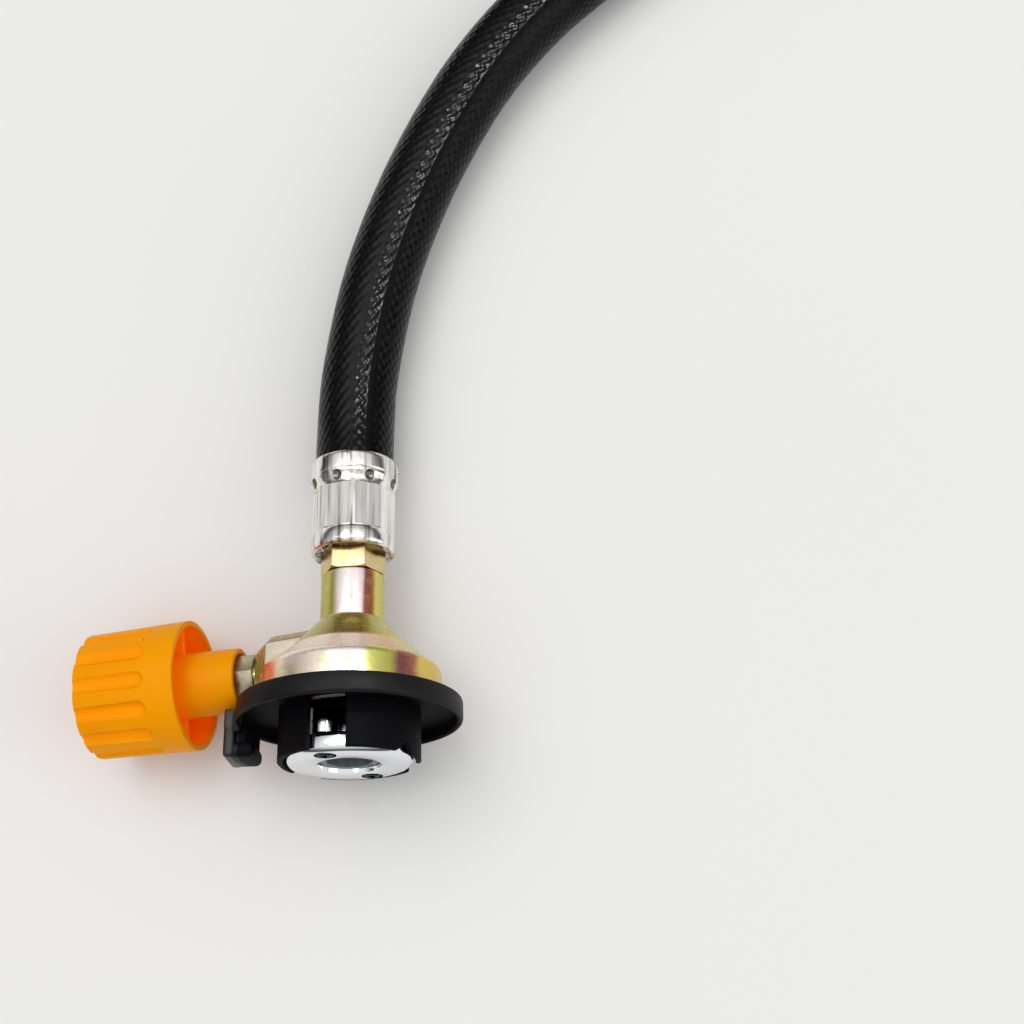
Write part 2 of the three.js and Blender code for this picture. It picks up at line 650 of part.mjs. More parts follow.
// ================================================================ hose fittings
// Built about Y with y = 0 at the ferrule's front edge and the hose towards +Y.
const lipAt = 1.4;
const lipThickness = 1.2;
function ferrule() {
  const bore = crimpFlat - ferruleWall + 0.6;
  const end = ferruleLength;
  const sleeve = turned([
    [bore, 0.2], [bellRadius - 0.8, 0], [bellRadius - 0.2, 0.4], [bellRadius, 1], [bellRadius, bellEnd],
    [waistRadius, crimpFrom], [waistRadius, crimpTo], [crownRadius - 0.15, crownFrom - 0.5],
    [crownRadius, crownFrom], [crownRadius, end - 1], [crownRadius - 0.3, end - 0.3],
    [crownRadius - 0.8, end], [bore + 0.4, end], [bore, end - 0.5],
  ], 40);
  const lip = disc(bore + 0.3, stemGroove + seatGap, lipAt, lipAt + lipThickness, 20);
  const flats = Array.from({ length: crimpCount }, (_, k) => {
    const outline = [
      [crimpFlat, crimpFrom + 0.5], [crimpFlat, crimpTo - 0.5],
      [crimpFlat + 2, crimpTo + 1], [crimpFlat + 2, crimpFrom - 1],
    ];
    const shape = new THREE.Shape(outline.map(([r, y]) => new THREE.Vector2(r, y)));
    const width = 2 * crimpFlat * Math.tan(Math.PI / crimpCount) + 0.3;
    const geometry = new THREE.ExtrudeGeometry(shape, { depth: width, bevelEnabled: false });
    return solid(geometry.translate(0, 0, -width / 2).rotateY(radians(crimpTurn + (360 * k) / crimpCount)));
  });
  return cut(join(sleeve, lip), ...flats);
}

// The stem's end inside the hose, from the ferrule's lip inwards, with its barbs.
function nipple() {
  const barbs = 4;
  const from = lipAt + lipThickness + seatGap;
  const length = ferruleLength - 1 - from;
  const outline = [[gasBore, -0.5], [stemGroove, -0.5], [stemGroove, from]];
  for (let k = 0; k < barbs; k += 1) {
    const start = from + (length * k) / barbs;
    outline.push([nippleRadius, start + 0.1], [nippleRadius - 0.4, start + length / barbs]);
  }
  outline.push([gasBore, from + length]);
  return turned(outline, 16);
}

function hoseStem() {
  const [threadFrom, hexFrom] = [neckEndAt - socketDepth + seatGap - ferruleAt, neckEndAt + seatGap - ferruleAt];
  const thread = disc(socketRadius - seatGap, gasBore, threadFrom, hexFrom + 0.2, 16);
  const grip = cut(hexagon(hexRadius, hexFrom, hexFrom + hexHeight, hexTurn),
    rod(gasBore, hexFrom - 1, hexFrom + hexHeight + 1, 0, 0, 16));
  return join(thread, grip, nipple());
}

// The rubber that the ferrule grips, with the nipple in its bore.
function crimpedHose(frame) {
  const from = lipAt + lipThickness + seatGap * 1.5;
  const to = ferruleLength + seatGap + 2;
  const outer = crimpFlat - ferruleWall + 0.6 - seatGap;
  return disc(outer, hoseBore, from, to, 20, frame);
}

const hexBackAt = -1.0;
const hexFrontAt = -4.6;
const flareAt = -14;
const noseAt = -16.5;
function outletStem() {
  const grip = cut(hexagon(hexRadius, hexFrontAt, hexBackAt, hexTurn), rod(gasBore, -6, 0, 0, 0, 16));
  const tail = turned([
    [gasBore, noseAt], [gasBore + 1.6, noseAt], [flareRadius - 0.5, flareAt - 0.3], [flareRadius, flareAt],
    [flareRadius, flareAt + 1.6], [nutTube, flareAt + 2.6], [nutTube, hexFrontAt + 0.2],
    [gasBore, hexFrontAt + 0.2],
  ], 16);
  return join(tail, grip, disc(stemGroove, gasBore, hexBackAt - 0.2, 0, 16), nipple());
}

const nutBackAt = hexFrontAt - 0.8;
const nutFrontAt = nutBackAt - nutLength;
function swivelNut() {
  const corner = nutAcrossFlats / 2 / Math.cos(Math.PI / 6);
  const bar = hexagon(corner, nutFrontAt, nutBackAt);
  const rounding = turned([
    [0, nutFrontAt], [corner - 1.3, nutFrontAt], [corner, nutFrontAt + 0.8], [corner, nutBackAt - 0.8],
    [corner - 1.3, nutBackAt], [0, nutBackAt],
  ], 48);
  const shoulderAt = flareAt + 1.6 + turnGap;
  const bores = turned([
    [0, nutFrontAt - 1], [nutThread + 1.5, nutFrontAt - 1], [nutThread, nutFrontAt + 0.6],
    [nutThread, shoulderAt], [nutTube + turnGap, shoulderAt + 1 + turnGap], [nutTube + turnGap, nutBackAt + 1],
    [0, nutBackAt + 1],
  ], 36);
  return cut(bar.intersect(rounding), bores);
}

// ================================================================ hose
const mouthAt = ferruleAt + ferruleLength + seatGap;
const hoseStart = new THREE.Vector3(0, mouthAt, 0).applyMatrix4(regulatorFrame);
const lyingHeight = hoseRadius + tableGap;
const runPoints = hoseRoute.map(([x, y, height]) => new THREE.Vector3(
  hoseStart.x + x, hoseStart.y + y, lyingHeight + height * (hoseStart.z - lyingHeight),
));
const runEnd = runPoints.at(-1);
const runHeading = runEnd.clone().sub(runPoints.at(-2)).setZ(0).normalize();

function hoseRun() {
  const section = Array.from({ length: 12 }, (_, k) => {
    const turn = (2 * Math.PI * k) / 12;
    return new THREE.Vector2(hoseRadius * Math.cos(turn), hoseRadius * Math.sin(turn));
  });
  const path = new THREE.CatmullRomCurve3(runPoints, false, 'centripetal');
  const geometry = new THREE.ExtrudeGeometry(new THREE.Shape(section), { steps: runSteps, extrudePath: path });
  const gripped = regulatorFrame.clone().multiply(new THREE.Matrix4().makeTranslation(0, ferruleAt, 0));
  return join(solid(geometry), crimpedHose(gripped));
}

// The coil lies to the left of the run's end. Its lower layer spirals in, the hose climbs by one
// turn's height about the reversal, and the upper layer spirals out and ends in a straight tail.
const left = new THREE.Vector3(-runHeading.y, runHeading.x, 0);
const coilStart = runEnd.clone().addScaledVector(runHeading, seatGap + 2 * hoseRadius);
const coilOuterRadius = coilInnerRadius + turnPitch * turnsIn;
const coilCentre = coilStart.clone().addScaledVector(left, coilOuterRadius);
const startAngle = Math.atan2(-left.y, -left.x);
const ease = (share) => THREE.MathUtils.smoothstep(share, 0, 1);

function coilPoint(turns) {
  const past = turns - turnsIn;
  const rounding = 0.08;
  const radius = coilInnerRadius + turnPitch * Math.sqrt(past * past + rounding * rounding * (past > -1 ? 1 : 0));
  const angle = startAngle + 2 * Math.PI * turns;
  const height = lyingHeight + turnPitch * ease((past + climb) / (2 * climb));
  return new THREE.Vector3(coilCentre.x + radius * Math.cos(angle), coilCentre.y + radius * Math.sin(angle), height);
}

function coilLine(perTurn) {
  const line = [runEnd.clone().addScaledVector(runHeading, seatGap)];
  const steps = Math.round((turnsIn + turnsOut) * perTurn);
  for (let i = 0; i <= steps; i += 1) line.push(coilPoint(((turnsIn + turnsOut) * i) / steps));
  const heading = line.at(-1).clone().sub(line.at(-2)).setZ(0).normalize();
  const base = line.at(-1).clone();
  const inward = new THREE.Vector3(-heading.y, heading.x, 0);
  const bends = Math.round((perTurn * tailTurn) / 360) + 2;
  for (let i = 1; i <= bends; i += 1) {
    const turn = (radians(tailTurn) * i) / bends;
    line.push(base.clone()
      .addScaledVector(heading, tailBend * Math.sin(turn))
      .addScaledVector(inward, tailBend * (1 - Math.cos(turn)))
      .setZ(base.z + tailLift * ease(i / bends)));
  }
  const last = heading.clone().applyAxisAngle(new THREE.Vector3(0, 0, 1), radians(tailTurn));
  line.push(line.at(-1).clone().addScaledVector(last, 2 * hoseRadius));
  return { line, last };
}

const { line: coilCentres, last: tailHeading } = coilLine(stepsPerTurn);
// The outlet frame has its Y along the hose, back from the fitting towards the coil.
const outletFrame = new THREE.Matrix4()
  .makeBasis(
    new THREE.Vector3(0, 0, 1).cross(tailHeading),
    tailHeading.clone().negate(),
    new THREE.Vector3(0, 0, 1),
  )
  .setPosition(coilCentres.at(-1).clone().addScaledVector(tailHeading, seatGap + ferruleLength));

function hoseCoil() {
  const up = new THREE.Vector3(0, 0, 1);
  const wound = tube(coilCentres, hoseRadius, 6, up, { first: runHeading, last: tailHeading });
  return join(wound, crimpedHose(outletFrame));
}

function measure() {
  const { line } = coilLine(96);
  let [length, least] = [0, Infinity];
  const along = line.map((point, i) => {
    if (i > 0) length += point.distanceTo(line[i - 1]);
    return length;
  });
  for (let i = 0; i < line.length; i += 1) {
    for (let j = i + 1; j < line.length; j += 1) {
      if (along[j] - along[i] > Math.PI * coilInnerRadius) least = Math.min(least, line[i].distanceTo(line[j]));
    }
  }
  const run = new THREE.CatmullRomCurve3(runPoints, false, 'centripetal').getLength();
  console.log(`hose: run ${run.toFixed(0)} mm, coil ${length.toFixed(0)} mm`);
  console.log(`coil: least gap between its turns ${(least - 2 * hoseRadius).toFixed(2)} mm`);
}

// ================================================================ assembly
function placed(frame, ...children) {
  const group = new THREE.Group();
  group.applyMatrix4(frame);
  group.add(...children);
  return group;
}

const valve = placed(
  valveFrame,
  piece('valve_needle', valveNeedle(), brass),
  piece('spindle_o_ring', sealRing(spindleRadius + sealGap, 1.2, spindleSealAt), rubber),
  piece('gland_nut', glandNut(), nickel),
  piece('spindle', spindle(), brass),
  piece('knob', knob(), orangePlastic),
);
const stemSealAt = flangeBackAt - 0.55;
const regulator = placed(
  regulatorFrame,
  piece('body_housing', bodyHousing(), chromate),
  piece('lock_ring', lockRing(), blackPlastic),
  piece('nozzle_plate', nozzlePlate(), nickel),
  piece('nozzle_gasket', nozzleGasket(), rubber),
  ...screwAngles.map((angle, k) => piece(`plate_screw_${k + 1}`, plateScrew(angle), nickel)),
  piece('front_flange', frontFlange(), steel),
  piece('chamber_cover', chamberCover(), chromate),
  piece('inlet_seat', inletSeat(), brass),
  piece('seat_pad', seatPad(), rubber),
  piece('flow_stem', flowStem(), brass),
  piece('stem_o_ring', sealRing(stemRadius + sealGap, 0.9, stemSealAt), rubber),
  piece('spring_seat', springSeat(), steel),
  piece('pressure_spring', pressureSpring(), steel),
  piece('diaphragm', diaphragm(), rubber),
  piece('diaphragm_plate', diaphragmPlate(), steel),
  piece('stem_nut', stemNut(), brass),
  placed(
    new THREE.Matrix4().makeTranslation(0, ferruleAt, 0),
    piece('hose_stem', hoseStem(), brass),
    piece('ferrule_inlet', ferrule(), tin),
  ),
  valve,
);
const outlet = placed(
  outletFrame,
  piece('ferrule_outlet', ferrule(), tin),
  piece('outlet_stem', outletStem(), brass),
  piece('swivel_nut', swivelNut(), brass),
);

// The origin is on the table, below the middle of the regulator.
regulator.updateMatrixWorld(true);
const middle = new THREE.Box3().setFromObject(regulator, true).getCenter(new THREE.Vector3());
const part = new THREE.Group();
part.add(regulator, outlet, piece('hose_run', hoseRun(), rubber), piece('hose_coil', hoseCoil(), rubber));
part.position.set(-middle.x, -middle.y, 0);
measure();

export default part;
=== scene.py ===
# %% [markdown]
# # A gas regulator with its hose
#
# The object is a small gas regulator for camping and caravans. A black plastic ring locks it on the
# canister, a zinc body carries the valve with its orange knob, and a black hose leaves it through a
# crimped fitting. It lies on its side on a pale table, and the camera looks down on it steeply.
#
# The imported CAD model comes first. It fixes every place and size, so nothing here has to be fitted.

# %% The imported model
import json
import math

import bpy
from mathutils import Matrix, Vector


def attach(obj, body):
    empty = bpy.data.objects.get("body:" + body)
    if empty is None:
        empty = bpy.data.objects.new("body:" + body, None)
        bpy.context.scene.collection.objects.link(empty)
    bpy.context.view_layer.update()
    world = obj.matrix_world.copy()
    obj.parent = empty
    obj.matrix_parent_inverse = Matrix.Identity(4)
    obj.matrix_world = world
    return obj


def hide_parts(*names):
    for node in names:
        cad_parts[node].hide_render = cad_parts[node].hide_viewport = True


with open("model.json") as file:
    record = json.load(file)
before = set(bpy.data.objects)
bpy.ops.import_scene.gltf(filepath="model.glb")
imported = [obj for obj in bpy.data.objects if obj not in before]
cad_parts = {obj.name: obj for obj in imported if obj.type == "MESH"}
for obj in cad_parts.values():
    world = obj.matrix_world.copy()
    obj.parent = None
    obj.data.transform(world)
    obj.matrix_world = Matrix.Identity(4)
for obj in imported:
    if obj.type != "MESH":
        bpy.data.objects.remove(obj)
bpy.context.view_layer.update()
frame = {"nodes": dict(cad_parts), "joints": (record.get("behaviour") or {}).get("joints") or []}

MM = 0.001

# %% [markdown]
# ## Working frames
#
# The regulator is a turned part that lies tilted, so its pieces are easiest to model upright about
# their own axis and to put in place afterwards. The joints of the CAD model already hold the axes:
# the lock ring's is the regulator's own axis, the knob's is the valve's and the nut's is the far
# fitting's. In a lying frame Y runs along the axis, and Z points as far up as it can. The valve's
# frame is the regulator's, turned the shortest way until its Y runs along the valve.

# %% Frames from the joints
joints = {joint["name"]: joint for joint in frame["joints"]}
UP = Vector((0, 0, 1))


def lying_frame(joint):
    along = Vector(joint["axis"]).normalized()
    side = along.cross(UP).normalized()
    place = Matrix((side, along, side.cross(along))).transposed().to_4x4()
    place.translation = Vector(joint["pos_m"])
    return place


regulator_frame = lying_frame(joints["lock_ring_turn"])
outlet_frame = lying_frame(joints["nut_spin"])
upright = regulator_frame.to_3x3()
valve_axis = upright.transposed() @ Vector(joints["knob_turn"]["axis"])
valve_turn = Vector((0, 1, 0)).rotation_difference(valve_axis).to_matrix()
valve_frame = (upright @ valve_turn).to_4x4()
valve_frame.translation = Vector(joints["knob_turn"]["pos_m"])
FERRULE_AT = 32.3
ferrule_frame = regulator_frame @ Matrix.Translation((0, FERRULE_AT * MM, 0))
print("regulator axis:", [round(v, 4) for v in regulator_frame.col[1][:3]])

# %% [markdown]
# ## Camera
#
# The picture was taken from close by, about 26 cm above the table and 78 degrees down, so the
# perspective is strong. These numbers come from fitting the ring's, the plate's, the knob's and the
# hose's outlines all at once.

# %% Camera
CAMERA_AT = (0.043632, -0.033831, 0.262225)
CAMERA_ELEVATION = 77.927  # degrees
CAMERA_LENS = 47.114  # mm, on a sensor 36 mm wide

bpy.ops.object.select_all(action="DESELECT")
bpy.ops.object.camera_add(location=CAMERA_AT, rotation=(math.radians(90 - CAMERA_ELEVATION), 0, 0))
camera = bpy.context.object
camera.name = "camera"
camera.data.sensor_width = 36
camera.data.lens = CAMERA_LENS
camera.data.clip_start = 0.01
bpy.context.scene.camera = camera
bpy.context.scene.view_settings.view_transform = "Standard"
print("camera lens:", camera.data.lens)

# %% [markdown]
# ## The hose's route
#
# The hose is a cord of fixed length: 1.5 m, of which the picture shows about 0.1 m. It comes out of
# the ferrule, sinks to the table, curves away, and is then wound into a flat coil outside the view.
# The CAD model has the same route, so its points are repeated here. First the visible stretch: x and
# y from the ferrule's mouth, and how much is left of the height to come down.

# %% The run's points
HOSE_RADIUS = 7.5
LYING = HOSE_RADIUS + 0.01
SEAT_GAP = 0.3
FERRULE_LENGTH = 18.6
MOUTH_AT = FERRULE_AT + FERRULE_LENGTH + SEAT_GAP
HOSE_ROUTE = [
    (0, 0, 1), (-0.1, 4, 0.63), (-0.1, 9, 0.33), (0.2, 16.9, 0.08), (1.7, 27.8, 0.02),
    (3.9, 38.6, 0.01), (7.4, 50.1, 0), (11.7, 61.2, 0), (16.8, 72, 0), (22.6, 82.4, 0),
    (29.4, 92.1, 0), (37.3, 101.1, 0), (45.5, 108.7, 0), (54.5, 116.9, 0), (63.5, 125.1, 0),
    (73.8, 134.7, 0), (84.7, 144.9, 0),
]
mouth = regulator_frame @ Vector((0, MOUTH_AT * MM, 0)) / MM
run_points = [
    Vector((mouth.x + x, mouth.y + y, LYING + height * (mouth.z - LYING)))
    for x, y, height in HOSE_ROUTE
]


def smooth_line(points, per_span):
    """A centripetal Catmull-Rom curve, the same kind as the CAD model's."""
    ends = [2 * points[0] - points[1], *points, 2 * points[-1] - points[-2]]
    line = []
    for p0, p1, p2, p3 in zip(ends, ends[1:], ends[2:], ends[3:]):
        t1 = (p1 - p0).length ** 0.5
        t2 = t1 + (p2 - p1).length ** 0.5
        t3 = t2 + (p3 - p2).length ** 0.5
        for step in range(per_span):
            t = t1 + (t2 - t1) * step / per_span
            a1 = p0.lerp(p1, t / t1)
            a2 = p1.lerp(p2, (t - t1) / (t2 - t1))
            a3 = p2.lerp(p3, (t - t2) / (t3 - t2))
            b1 = a1.lerp(a2, t / t2)
            b2 = a2.lerp(a3, (t - t1) / (t3 - t1))
            line.append(b1.lerp(b2, (t - t1) / (t2 - t1)))
    return [*line, points[-1].copy()]


run_line = smooth_line(run_points, 5)
print("run points:", len(run_line), "mouth:", [round(v, 2) for v in mouth])

# %% [markdown]
# The coil: two layers of turns. The lower layer spirals in, the hose climbs onto it about the
# reversal, and the upper one spirals out. The climb is spread over half a turn, and the reversal
# is rounded, so that the hose bends gently everywhere.

# %% The coil's points
COIL_INNER_RADIUS, TURN_PITCH = 66, 15.7
TURNS_IN, TURNS_OUT = 1.96, 0.45
TURNS = TURNS_IN + TURNS_OUT
CLIMB = 0.25  # turns before and after the reversal
ROUNDING = 0.08  # turns
PER_TURN = 72

run_end = run_points[-1]
heading = (run_end - run_points[-2]) * Vector((1, 1, 0))
heading.normalize()
left = Vector((-heading.y, heading.x, 0))
coil_start = run_end + heading * (SEAT_GAP + 2 * HOSE_RADIUS)
coil_centre = coil_start + left * (COIL_INNER_RADIUS + TURN_PITCH * TURNS_IN)
start_angle = math.atan2(-left.y, -left.x)


def ease(share):
    share = min(max(share, 0), 1)
    return share * share * (3 - 2 * share)


def coil_point(turns):
    past = turns - TURNS_IN
    soft = ROUNDING * ROUNDING if past > -1 else 0
    radius = COIL_INNER_RADIUS + TURN_PITCH * math.sqrt(past * past + soft)
    angle = start_angle + 2 * math.pi * turns
    height = LYING + TURN_PITCH * ease((past + CLIMB) / (2 * CLIMB))
    return Vector((
        coil_centre.x + radius * math.cos(angle), coil_centre.y + radius * math.sin(angle), height,
    ))


coil_steps = round(TURNS * PER_TURN)
coil_line = [run_end + heading * step for step in (4.0, 8.0, 12.0)]
coil_line += [coil_point(TURNS * i / coil_steps) for i in range(coil_steps + 1)]
print("coil points:", len(coil_line), "over turns:", round(TURNS, 2))

# %% [markdown]
# A last bend brings the fitting over the turns. The CAD model's coil has fewer points, and its tail
# sets off along the last of their chords, so the tail here starts along the same chord, and ends at
# the same place. The small kink that this leaves is smoothed out by averaging neighbours.

# %% The tail's points
TAIL_BEND, TAIL_TURN, TAIL_LIFT = 62, math.radians(83), 3.5
TAIL_STEPS = 24
CAD_PER_TURN = 24
KINK_REACH, KINK_PASSES = 5, 12

kink = len(coil_line) - 1
base = coil_line[kink].copy()
cad_steps = round(TURNS * CAD_PER_TURN)
tail_start = (base - coil_point(TURNS * (1 - 1 / cad_steps))) * Vector((1, 1, 0))
tail_start.normalize()
inward = Vector((-tail_start.y, tail_start.x, 0))
for i in range(1, TAIL_STEPS + 1):
    turn = TAIL_TURN * i / TAIL_STEPS
    bent = base + tail_start * TAIL_BEND * math.sin(turn) + inward * TAIL_BEND * (1 - math.cos(turn))
    coil_line.append(Vector((bent.x, bent.y, base.z + TAIL_LIFT * ease(i / TAIL_STEPS))))
tail = tail_start * math.cos(TAIL_TURN) + inward * math.sin(TAIL_TURN)
coil_line += [coil_line[-1] + tail * step for step in (5.0, 10.0, 2 * HOSE_RADIUS)]
for _ in range(KINK_PASSES):
    for i in range(kink - KINK_REACH, kink + KINK_REACH + 1):
        coil_line[i] = (coil_line[i - 1] + 2 * coil_line[i] + coil_line[i + 1]) / 4
far_mouth = outlet_frame @ Vector((0, (FERRULE_LENGTH + SEAT_GAP) * MM, 0)) / MM
missed = (coil_line[-1] - far_mouth).length
print("points with the tail:", len(coil_line), "off the far ferrule's mouth, mm:", round(missed, 3))

# %% [markdown]
# ## The hose's skin
#
# A hose is a round tube along that route, so its mesh is a row of rings, one after every point.
# Each ring is square to the route, and a UV map runs round and along it in metres, so that the
# rubber's cloth pattern can follow the bends.

# %% Hose
HOSE_SIDES = 40
INSIDE = 3.0  # how far the hose is drawn into each ferrule

hose_line = [point * MM for point in [*run_line, *coil_line]]
first_way = regulator_frame.col[1].to_3d().normalized()
hose_line.insert(0, hose_line[0] - first_way * INSIDE * MM)
hose_line.append(hose_line[-1] + tail * INSIDE * MM)


def tube_mesh(name, line, radius, sides):
    travelled = [0.0]
    for here, there in zip(line, line[1:]):
        travelled.append(travelled[-1] + (there - here).length)
    vertices, faces = [], []
    for i, point in enumerate(line):
        way = (line[min(i + 1, len(line) - 1)] - line[max(i - 1, 0)]).normalized()
        side = way.cross(UP).normalized()
        top = side.cross(way)
        for k in range(sides):
            turn = 2 * math.pi * k / sides
            vertices.append(point + (side * math.sin(turn) + top * math.cos(turn)) * radius)
    for i in range(len(line) - 1):
        for k in range(sides):
            a, b = i * sides + k, i * sides + (k + 1) % sides
            faces.append((a, a + sides, b + sides, b))
    faces.append(tuple(range(sides)))
    faces.append(tuple(reversed(range((len(line) - 1) * sides, len(line) * sides))))
    mesh = bpy.data.meshes.new(name)
    mesh.from_pydata(vertices, [], faces)
    uv = mesh.uv_layers.new(name="round_and_along")
    for face in mesh.polygons[:-2]:
        k = face.index % sides
        ring = face.index // sides
        turns = (k, k, k + 1, k + 1)
        rings = (ring, ring + 1, ring + 1, ring)
        for loop, turn, row in zip(face.loop_indices, turns, rings):
            uv.data[loop].uv = (2 * math.pi * radius * turn / sides, travelled[row])
    obj = bpy.data.objects.new(name, mesh)
    bpy.context.scene.collection.objects.link(obj)
    return obj, travelled[-1]


hose, hose_length = tube_mesh("hose_tube", hose_line, HOSE_RADIUS * MM, HOSE_SIDES)
print("hose length, m:", round(hose_length, 4), "triangles:", 2 * HOSE_SIDES * len(hose_line))

# %% [markdown]
# ## Tools of the bench
#
# Most of the pieces are turned, so the main tool draws half an outline point by point and spins it
# about Y. The others are a round bar, a block, and the joining and cutting of solids. Sizes are in
# millimetres, as on a drawing.

# %% Select, settle, merge
def start_clean():
    bpy.ops.object.select_all(action="DESELECT")


def activate(obj):
    start_clean()
    obj.select_set(True)
    bpy.context.view_layer.objects.active = obj


def settle(obj):
    """Moves an object's place and turn into its mesh."""
    activate(obj)
    bpy.ops.object.transform_apply(location=True, rotation=True, scale=True)
    return obj


def close_doubles():
    bpy.ops.mesh.select_all(action="SELECT")
    bpy.ops.mesh.remove_doubles(threshold=1e-6)


# %% [markdown]
# For a turned piece a plane is shrunk to one point, and the point is extruded along the outline.
# The spin takes that line once round. Doubles are merged before the normals are made to face out.

# %% Revolve
def revolve(name, outline, steps=96):
    """Spins an outline of (radius, y) about Y. It starts and ends on the axis, or is closed."""
    start_clean()
    corners = [Vector((radius, y, 0)) * MM for radius, y in outline]
    on_axis = outline[0][0] == 0 and outline[-1][0] == 0
    bpy.ops.mesh.primitive_plane_add(size=MM, location=corners[0])
    obj = settle(bpy.context.object)
    obj.name = name
    bpy.ops.object.mode_set(mode="EDIT")
    bpy.ops.mesh.select_mode(type="VERT")
    bpy.ops.mesh.select_all(action="SELECT")
    bpy.ops.mesh.merge(type="CENTER")
    for here, there in zip(corners, corners[1:] + ([] if on_axis else corners[:1])):
        bpy.ops.mesh.extrude_region_move(TRANSFORM_OT_translate={"value": there - here})
    close_doubles()
    bpy.ops.mesh.select_all(action="SELECT")
    bpy.ops.mesh.spin(steps=steps, angle=2 * math.pi, center=(0, 0, 0), axis=(0, 1, 0))
    close_doubles()
    bpy.ops.mesh.normals_make_consistent(inside=False)
    bpy.ops.object.mode_set(mode="OBJECT")
    return obj


# %% [markdown]
# A bar is a cylinder along Y, which may stand away from the axis, and with six sides it is a
# hexagon. A block is a cube between two corners. Both are starts that get cut, bevelled or joined.

# %% Bars and blocks
def bar(name, radius, low, high, sides=64, turn=0.0, away=0.0, angle=0.0):
    """A bar about Y. away and angle, in degrees from +X towards +Z, put it off the axis."""
    start_clean()
    x, z = away * math.cos(math.radians(angle)), away * math.sin(math.radians(angle))
    bpy.ops.mesh.primitive_cylinder_add(
        vertices=sides, radius=radius * MM, depth=(high - low) * MM,
        location=(x * MM, (low + high) / 2 * MM, z * MM), rotation=(math.pi / 2, math.radians(turn), 0),
    )
    bpy.context.object.name = name
    return settle(bpy.context.object)


def block(name, low, high, turn=0.0):
    """A block between two corners, turned about Y by an angle in degrees."""
    start_clean()
    low, high = Vector(low) * MM, Vector(high) * MM
    bpy.ops.mesh.primitive_cube_add(size=1, location=(low + high) / 2, scale=high - low)
    cube = settle(bpy.context.object)
    cube.name = name
    cube.rotation_euler = (0, math.radians(turn), 0)
    return settle(cube)


def ball(name, radius, centre):
    start_clean()
    bpy.ops.mesh.primitive_uv_sphere_add(
        segments=24, ring_count=12, radius=radius * MM, location=Vector(centre) * MM,
    )
    bpy.context.object.name = name
    return settle(bpy.context.object)


# %% [markdown]
# Solids are joined and cut with the Boolean modifier. Its exact solver is slow but leaves closed
# meshes. Cutters that don't touch each other are first put in one mesh, to save time. Edges get
# their small radius from the Bevel modifier, because no moulded or turned edge is sharp.

# %% Join, cut, round off
def applied(obj, kind, **settings):
    activate(obj)
    modifier = obj.modifiers.new(kind.title(), kind)
    for setting, value in settings.items():
        setattr(modifier, setting, value)
    bpy.ops.object.modifier_apply(modifier=modifier.name)
    return obj


def together(shapes):
    if len(shapes) > 1:
        activate(shapes[0])
        for shape in shapes:
            shape.select_set(True)
        bpy.ops.object.join()
    return shapes[0]


def combine(obj, other, operation):
    applied(obj, "BOOLEAN", operation=operation, object=other, solver="EXACT", material_mode="TRANSFER")
    bpy.data.objects.remove(other)
    return obj


def weld(obj, *others):
    for other in others:
        combine(obj, other, "UNION")
    return obj


def carve(obj, *tools):
    for tool in tools:
        combine(obj, tool, "DIFFERENCE")
    return obj


def soften(obj, width, angle=35, segments=2):
    return applied(
        obj, "BEVEL", width=width * MM, segments=segments, limit_method="ANGLE",
        angle_limit=math.radians(angle), miter_outer="MITER_ARC",
    )


# %% [markdown]
# ## Shared shader groups
#
# Two effects come back in several finishes. The first is fine grain: a noise that changes the
# roughness a little and lifts the surface by up to two hundredths of a millimetre, as plating,
# casting and moulded plastic do. The second gives a turned piece its own coordinates: how far
# across it, how far along it and how far from its axis a point lies.

# %% Node helpers
def srgb(red, green, blue):
    """A colour as seen on a screen, 0 to 255, as the linear colour that shaders take."""
    def linear(value):
        value /= 255
        return value / 12.92 if value <= 0.04045 else ((value + 0.055) / 1.055) ** 2.4
    return (linear(red), linear(green), linear(blue), 1.0)


def add_node(tree, kind, links=None, **settings):
    """Adds a node. Keys of links are its inputs, by name or number; values are sockets or numbers."""
    node = tree.nodes.new(kind)
    for setting, value in settings.items():
        setattr(node, setting, value)
    for key, value in (links or {}).items():
        if isinstance(value, bpy.types.NodeSocket):
            tree.links.new(value, node.inputs[key])
        else:
            node.inputs[key].default_value = value
    return node


def arithmetic(tree, operation, *values):
    return add_node(tree, "ShaderNodeMath", dict(enumerate(values)), operation=operation).outputs[0]


def new_group(name, inputs, outputs):
    group = bpy.data.node_groups.new(name, "ShaderNodeTree")
    for socket, kind in inputs:
        group.interface.new_socket(socket, in_out="INPUT", socket_type="NodeSocket" + kind)
    for socket, kind in outputs:
        group.interface.new_socket(socket, in_out="OUTPUT", socket_type="NodeSocket" + kind)
    return group, group.nodes.new("NodeGroupInput"), group.nodes.new("NodeGroupOutput")


# %% [markdown]
# Fine grain first. A Map Range turns the noise into a roughness, and a Bump turns it into a normal.

